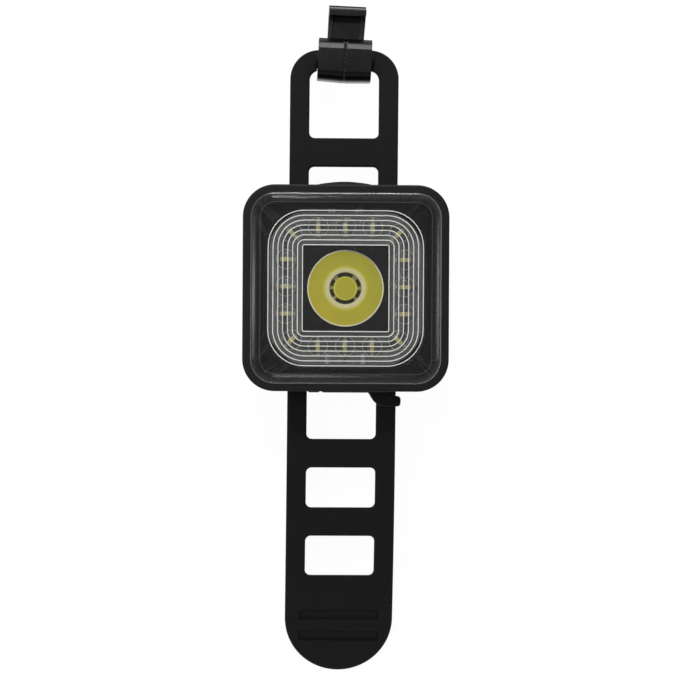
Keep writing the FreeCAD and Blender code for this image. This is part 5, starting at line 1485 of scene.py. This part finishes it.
@dataclass
class LampRing:
    """Sixteen small lamps, each with its yellow window and pale ends, and a bead lens's edge over it.

    A pale ring at each bead lens's foot is a painted highlight, and two pale slabs are painted glints.
    """

    reach: float = 12.15 * MM
    corner: float = 10.9 * MM
    pitch: float = 5.55 * MM
    shift: float = 0.35 * MM
    length: float = 3.0 * MM
    width: float = 1.4 * MM
    edge: float = 0.08 * MM
    wall: float = 0.16 * MM
    cavity: float = 0.14 * MM
    bend: float = 4.27 * MM
    window: tuple[float, float] = (0.95 * MM, 0.42 * MM)
    end: tuple[float, float] = (0.17 * MM, 0.4 * MM)
    end_place: float = 1.14 * MM
    # Painted glints: pale slabs over the array at both ends of each bead, where it bends the lamp's ends
    glint: tuple[float, float] = (0.17 * MM, 0.36 * MM)
    glint_place: float = 1.74 * MM
    bead: float = 1.98 * MM
    bead_height: float = 0.9 * MM
    # Width and height of the painted highlight ring at each bead's foot; the painted glints are as high
    bead_line: float = 0.11 * MM
    bead_flat: float = 0.4
    bead_rise: float = 0.08 * MM
    bead_steps: int = 40
    window_fill: float = 0.8
    end_fill: float = 0.5
    track: tuple[float, float, float] = (0.1 * MM, 0.5 * MM, 0.12 * MM)
    haze: float = 0.17
    haze_size: float = 1.5 * MM

    @classmethod
    def haze_and_highlights(cls, graph: Graph) -> Shade:
        """Where the plate over the lamps is milky: faintly all over, apart from the track over them."""
        clear = graph.beyond_square(cls.reach, cls.bend, cls.shift).band(*cls.track)
        return (graph.noise(cls.haze_size, detail=1.0) * cls.haze) * (1.0 - clear)

    def places(self) -> list[tuple[Vector, float]]:
        """Where each lamp is, and how its strip is turned, in degrees.

        Returns:
            The middle and the turn of each.
        """
        found = []
        for side in (1, -1):
            for step in (-1, 0, 1):
                found.append((Vector((step * self.pitch, self.reach * side + self.shift, 0.0)), 90.0))
                found.append((Vector((self.reach * side, step * self.pitch + self.shift, 0.0)), 0.0))
            for other in (1, -1):
                turn = math.copysign(45.0, side * other)
                found.append((Vector((self.corner * side, self.corner * other + self.shift, 0.0)), turn))
        return found

    def build(self, shop: Workshop) -> None:
        """Make the lamps.

        Args:
            shop: What makes the pieces.
        """
        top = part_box("ring_leds")[1].z
        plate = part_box("led_board")[1].z
        array_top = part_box("lens_array")[1].z - self.bead_height
        glint_top = array_top + self.bead_rise
        bodies, windows, ends, foot_highlights, glints = (bmesh.new() for _ in range(5))
        floor = top - self.cavity
        window_top, end_top = (floor + self.cavity * fill for fill in (self.window_fill, self.end_fill))
        for place, turn in self.places():
            self._body(shop, bodies, place, turn, plate, top)
            self._slab(shop, windows, place, turn, 0.0, self.window, floor, window_top)
            for side in (1, -1):
                self._slab(shop, ends, place, turn, self.end_place * side, self.end, floor, end_top)
                # Painted glints over the bead's ends
                away = self.glint_place * side
                self._slab(shop, glints, place, turn, away, self.glint, array_top, glint_top)
            self._foot_highlight(shop, foot_highlights, place, array_top)
        for name, bm, finish in (
            ("lamp_bodies", bodies, "lamp_white"), ("lamp_windows", windows, "lamp_yellow"),
            ("lamp_ends", ends, "lamp_pale_and_glint"), ("bead_glints", glints, "lamp_pale_and_glint"),
        ):
            stands_for = ["ring_leds"] if name == "lamp_bodies" else []
            shop.piece(name, bm, "lamp_white", Body.LIGHT, stands_for, finish=finish)
        # The pale rings at the beads' feet are painted highlights
        shop.piece("bead_foot_highlights", foot_highlights, "clear_lens", Body.LIGHT, finish="bead_foot_highlight")

    @staticmethod
    def _turned(points: Sequence[Point], place: Vector, turn: float, height: float) -> list[Vector]:
        """Put a lamp's own flat points where it stands."""
        spin = Matrix.Rotation(math.radians(turn), 3, "Z")
        return [spin @ Vector((x, y, 0.0)) + place + Vector((0.0, 0.0, height)) for x, y in points]

    def _body(
        self, shop: Workshop, bm: bmesh.types.BMesh, place: Vector, turn: float, base: float, top: float
    ) -> None:
        """Add one package: a tray with thin walls.

        Args:
            shop: What makes the solids.
            bm: Where to add it.
            place: The lamp's middle.
            turn: How its strip is turned, in degrees.
            base: Height of its bottom.
            top: Height of its top.
        """
        long, wide = self.length / 2, self.width / 2
        rings = []
        for inset, level in (
            (0.0, base), (0.0, top - self.edge), (self.edge, top), (self.wall, top),
            (self.wall + self.edge, top - self.cavity),
        ):
            low, high = (-long + inset, -wide + inset), (long - inset, wide - inset)
            points = rounded(low, high, (self.edge, self.edge), steps=3)
            rings.append(self._turned(points, place, turn, level))
        shop.loft(bm, rings)

    def _slab(
        self, shop: Workshop, bm: bmesh.types.BMesh, place: Vector, turn: float, away: float,
        half: tuple[float, float], base: float, top: float,
    ) -> None:
        """Add a low slab with soft edges inside a package.

        Args:
            shop: What makes the solids.
            bm: Where to add it.
            place: The lamp's middle.
            turn: How its strip is turned, in degrees.
            away: How far it lies along the strip.
            half: Half its sizes.
            base: Height of its bottom.
            top: Height of its top.
        """
        rings = []
        for inset, level in ((0.0, base), (0.0, top - self.edge / 2), (self.edge / 2, top)):
            low = (away - half[0] + inset, -half[1] + inset)
            high = (away + half[0] - inset, half[1] - inset)
            points = rounded(low, high, (self.edge, self.edge), steps=3)
            rings.append(self._turned(points, place, turn, level))
        shop.loft(bm, rings)

    def _foot_highlight(self, shop: Workshop, bm: bmesh.types.BMesh, place: Vector, base: float) -> None:
        """Add the pale ring at the foot of one bead lens: a painted highlight where its edge bends the light.

        Args:
            shop: What makes the solids.
            bm: Where to add it.
            place: The lamp's middle.
            base: Height of its foot.
        """
        top = base + self.bead_rise
        foot, flat = self.bead_line, self.bead_line * self.bead_flat
        rings = []
        for aside, level in ((-foot, base), (-flat, top), (flat, top), (foot, base)):
            points = circle((place.x, place.y), self.bead + aside, self.bead_steps)
            rings.append([Vector((x, y, level)) for x, y in points])
        shop.hoop(bm, rings)


@dataclass
class Chips:
    """Four small resistors, each with two tinned ends.

    The upper and the lower pair each have their place along X and Y, half length and half width.
    """

    upper: tuple[float, float, float, float] = (2.8 * MM, 16.0 * MM, 0.7 * MM, 0.45 * MM)
    lower: tuple[float, float, float, float] = (3.7 * MM, -14.4 * MM, 0.4 * MM, 1.0 * MM)
    cap: float = 0.26 * MM
    swell: float = 0.03 * MM
    edge: float = 0.06 * MM

    def build(self, shop: Workshop) -> None:
        """Make the resistors.

        Args:
            shop: What makes the pieces.
        """
        low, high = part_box("chip_resistors")
        bodies, ends = bmesh.new(), bmesh.new()
        cap = self.cap / 2
        for x, y, long, wide in (self.upper, self.lower):
            for side in (1, -1):
                middle = Vector((x * side, y, 0.0))
                size = (long - self.swell, wide - self.swell)
                self._block(shop, bodies, middle, size, low.z, high.z - self.swell)
                for end in (1, -1):
                    if long > wide:
                        at = middle + Vector(((long - cap) * end, 0.0, 0.0))
                        self._block(shop, ends, at, (cap, wide), low.z, high.z)
                    else:
                        at = middle + Vector((0.0, (wide - cap) * end, 0.0))
                        self._block(shop, ends, at, (long, cap), low.z, high.z)
        shop.piece("chip_bodies", bodies, "chip", Body.LIGHT, ["chip_resistors"])
        shop.piece("chip_ends", ends, "chip", Body.LIGHT, finish="chip_ends")

    def _block(
        self, shop: Workshop, bm: bmesh.types.BMesh, middle: Vector, half: tuple[float, float],
        base: float, top: float,
    ) -> None:
        """Add a block with softened upper edges.

        Args:
            shop: What makes the solids.
            bm: Where to add it.
            middle: Its middle.
            half: Half its length and half its width.
            base: Height of its bottom.
            top: Height of its top.
        """
        long, wide = half
        rings = []
        for inset, level in ((0.0, base), (0.0, top - self.edge), (self.edge, top)):
            low = (middle.x - long + inset, middle.y - wide + inset)
            high = (middle.x + long - inset, middle.y + wide - inset)
            outline = rounded(low, high, (self.edge, self.edge), steps=2)
            rings.append([Vector((x, y, level)) for x, y in outline])
        shop.loft(bm, rings)


@dataclass
class Button:
    """Rubber power button in the upper wall: a crowned cap, a flange behind the wall and a stem.

    The crown's points are, in millimetres, how far it has come in from the cap's side and how far
    it lies under its highest point. The arch makes it come in faster at the ends.
    """

    half: tuple[float, float] = (6.6 * MM, 3.2 * MM)
    lip: float = 0.9 * MM
    flange_front: float = 19.1 * MM
    flange_back: float = 18.3 * MM
    stem: float = 1.5 * MM
    arch: float = 2.8
    crown: tuple[Point, ...] = (
        (0.0, 0.9), (0.25, 0.62), (0.55, 0.42), (0.95, 0.24), (1.35, 0.11), (1.65, 0.03), (1.8, 0.0),
    )

    def build(self, shop: Workshop) -> None:
        """Make the button.

        Args:
            shop: What makes the pieces.
        """
        low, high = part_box("power_button")
        middle = ((low.x + high.x) / 2, (low.z + high.z) / 2)
        wide, tall = self.half
        full = (wide + self.lip, tall + self.lip)
        rings = [
            wall_ring(middle, (self.stem, self.stem), self.stem, y) for y in (low.y, self.flange_back)
        ]
        rings.append(wall_ring(middle, full, full[1] * ROUND_END, self.flange_back))
        rings.append(wall_ring(middle, full, full[1] * ROUND_END, self.flange_front))
        rings.append(wall_ring(middle, self.half, tall * ROUND_END, self.flange_front))
        for inset, depth in self.crown:
            half = (wide - inset * self.arch * MM, tall - inset * MM)
            rings.append(wall_ring(middle, half, half[1] * ROUND_END, high.y - depth * MM))
        bm = bmesh.new()
        shop.loft(bm, rings)
        shop.piece("button_cap", bm, "button_rubber", Body.BUTTON, ["power_button"])


@dataclass
class PortCover:
    """Rubber cover of the charging port: hinge end, flap, plug and a pull tab with a ribbed bulb.

    The tab's line is its outline in millimetres along X and Y. Its levels are heights as a share of
    half its thickness, each with how large the outline is there.
    """

    port_x: float = 2.0 * MM
    right: float = 9.5 * MM
    thick: float = 1.1 * MM
    flap_rounds: tuple[float, float] = (1.0 * MM, 0.8 * MM)
    knuckle_steps: int = 24
    plug: tuple[float, float] = (4.7 * MM, 2.0 * MM)
    plug_round: float = 1.4 * MM
    edge: float = 0.22 * MM
    tab_half: float = 2.5 * MM
    tab_levels: tuple[Point, ...] = ((-1.0, 0.94), (-0.88, 1.0), (0.88, 1.0), (1.0, 0.94))
    tab_aside: float = 0.6
    tab_line: tuple[Point, ...] = (
        (4.3, -21.2), (4.62, -21.6), (4.95, -22.15), (5.35, -22.8), (5.85, -23.4), (6.5, -23.85),
        (7.3, -24.12), (8.4, -24.2), (10.2, -24.2), (10.75, -24.1), (11.02, -23.75), (11.1, -23.0),
        (11.05, -22.45), (10.75, -22.12), (10.3, -22.05), (9.85, -22.05), (9.55, -21.9), (9.4, -21.6),
        (9.35, -21.2),
    )
    ribs: tuple[float, float] = (-22.75 * MM, -23.45 * MM)
    rib_from: float = 10.35 * MM
    rib_to: float = 11.3 * MM
    rib_half: float = 0.12 * MM
    rib_crest: float = 0.4
    rib_rise: float = 0.14 * MM
    seat: float = 1.15 * MM
    seat_rounds: tuple[float, float] = (0.4 * MM, 0.5 * MM)
    peg: float = 0.85 * MM
    peg_head: float = 1.15 * MM
    peg_head_from: float = 0.6 * MM
    peg_head_to: float = 0.15 * MM

    def build(self, shop: Workshop) -> None:
        """Make the cover and its fixed end.

        Args:
            shop: What makes the pieces.
        """
        low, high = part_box("port_cover")
        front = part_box("cover_anchor")[0].y
        inner = front + self.thick
        middle_z = (low.z + high.z) / 2
        tall = (high.z - low.z) / 2
        knuckle = (inner - front) / 2
        hinge = low.x + knuckle
        flap_middle = ((hinge + self.right) / 2, middle_z)
        flap_half = ((self.right - hinge) / 2, tall)
        bm = bmesh.new()
        large, small = self.flap_rounds
        rings = [wall_ring(flap_middle, flap_half, large, y) for y in (inner, front + self.edge)]
        rings.append(wall_ring(flap_middle, self._shrunk(flap_half), small, front))
        shop.loft(bm, rings)
        port = (self.port_x, middle_z)
        plug = [wall_ring(port, self.plug, self.plug_round, y) for y in (inner, high.y - self.edge)]
        plug.append(wall_ring(port, self._shrunk(self.plug), self.plug_round - self.edge, high.y))
        shop.loft(bm, plug)
        round_end = circle((hinge, (inner + front) / 2), knuckle, self.knuckle_steps)
        shop.loft(bm, [[Vector((x, y, z)) for x, y in round_end] for z in (low.z, high.z)])
        self._tab(shop, bm, middle_z)
        shop.piece("port_flap", bm, "cover_rubber", Body.COVER, ["port_cover"])
        self._anchor(shop)

    def _shrunk(self, half: Sequence[float]) -> tuple[float, ...]:
        """Half sizes, less the soft edge."""
        return tuple(size - self.edge for size in half)

    def _tab(self, shop: Workshop, bm: bmesh.types.BMesh, middle: float) -> None:
        """Add the pull tab with its ribs.

        Args:
            shop: What makes the solids.
            bm: Where to add it.
            middle: Height of its middle.
        """
        line = [((x + self.tab_aside) * MM, y * MM) for x, y in self.tab_line]
        centre = Vector([sum(part) / len(line) for part in zip(*line)])
        rings = []
        for level, share in self.tab_levels:
            height = middle + self.tab_half * level
            ring = []
            for point in line:
                x, y = centre + (Vector(point) - centre) * share
                ring.append(Vector((x, y, height)))
            rings.append(ring)
        shop.loft(bm, rings)
        top = middle + self.tab_half
        foot, crest = self.rib_half, self.rib_half * self.rib_crest
        low, high = top - self.rib_rise, top + self.rib_rise
        for place in self.ribs:
            profile = [(place - foot, low), (place + foot, low), (place + crest, high), (place - crest, high)]
            shop.prism(bm, profile, self.rib_from, self.rib_to)

    def _anchor(self, shop: Workshop) -> None:
        """Make the fixed end with its peg.

        Args:
            shop: What makes the pieces.
        """
        low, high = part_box("cover_anchor")
        middle = ((low.x + high.x) / 2, (low.z + high.z) / 2)
        half = ((high.x - low.x) / 2, (high.z - low.z) / 2)
        seat = low.y + self.seat
        small, large = self.seat_rounds
        rings = [wall_ring(middle, self._shrunk(half), small, low.y)]
        rings += [wall_ring(middle, half, large, y) for y in (low.y + self.edge, seat)]
        peg, head = self.peg, self.peg_head
        neck, brow = high.y - self.peg_head_from, high.y - self.peg_head_to
        for radius, y in ((peg, seat), (peg, neck), (head, neck), (head, brow), (peg, high.y)):
            rings.append(wall_ring(middle, (radius, radius), radius, y))
        bm = bmesh.new()
        shop.loft(bm, rings)
        shop.piece("port_anchor", bm, "cover_rubber", Body.LIGHT, ["cover_anchor"])


@dataclass
class Saddle:
    """Rubber saddle: an arc with fine grip ribs between two horns."""

    bar: float = 13.6 * MM
    horn: float = 1.8 * MM
    flare: float = 1.7 * MM
    bend: float = 0.6
    rib_depth: float = 0.16 * MM
    ribs: int = 17
    rib_steps: int = 8
    edge: float = 0.5 * MM

    def build(self, shop: Workshop) -> None:
        """Make the saddle.

        Args:
            shop: What makes the pieces.
        """
        low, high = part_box("saddle_pad")
        arc_half = math.sqrt(self.bar ** 2 - low.z ** 2)
        start = math.atan2(low.z, arc_half)
        steps = self.ribs * self.rib_steps
        line = []
        for i in range(steps + 1):
            turn = start + (math.pi - start * 2) * i / steps
            depth = self.rib_depth * (0.5 - 0.5 * math.cos(math.tau * self.ribs * i / steps))
            radius = self.bar + depth
            line.append((radius * math.cos(turn), radius * math.sin(turn)))
        outer = arc_half + self.horn
        wide = outer + self.flare
        knee = low.z + (high.z - low.z) * self.bend
        right = [(outer, low.z), (wide, knee), (wide, high.z)]
        profile = right + [(-y, z) for y, z in reversed(right)] + line[::-1]
        bm = bmesh.new()
        shop.prism(bm, profile, low.x, high.x)
        bmesh.ops.recalc_face_normals(bm, faces=bm.faces)
        shop.soften(bm, self.edge, sharper=40.0)
        shop.piece("bar_saddle", bm, "saddle_rubber", Body.LIGHT, ["saddle_pad"])


@dataclass
class Gasket:
    """Rubber gasket on the shelf, seen through the edge of the lens."""

    inner: float = 16.25 * MM
    inner_corner: float = 7.45 * MM
    corner: float = 5.0 * MM
    edge: float = 0.1 * MM

    def build(self, shop: Workshop) -> None:
        """Make the gasket.

        Args:
            shop: What makes the pieces.
        """
        low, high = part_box("lens_gasket")
        section = (
            (high.x, self.corner, low.z), (high.x, self.corner, high.z - self.edge),
            (high.x - self.edge, self.corner - self.edge, high.z),
            (self.inner + self.edge, self.inner_corner + self.edge, high.z),
            (self.inner, self.inner_corner, high.z - self.edge), (self.inner, self.inner_corner, low.z),
        )
        bm = bmesh.new()
        shop.hoop(bm, [square_ring(*shape) for shape in section])
        shop.piece("lens_seal", bm, "seal_rubber", Body.LIGHT, ["lens_gasket"])


def main() -> None:
    """Build the light and everything around it."""
    logging.basicConfig(level=logging.INFO, format="%(message)s")
    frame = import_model()
    Studio().build()
    dressing = Dressing()
    dressing.prepare()
    dressing.dress(frame["nodes"], frame["record"])
    shop = Workshop(dressing.finishes)
    strap = Strap()
    strap.build(shop)
    Hook().build(shop, Vector((0.0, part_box("strap")[1].y - strap.loop_bar / 2, STRAP_MIDDLE)))
    for part in (Lens(), Optic(), LampRing(), Chips(), Button(), PortCover(), Saddle(), Gasket()):
        part.build(shop)


if __name__ == "__main__":
    main()
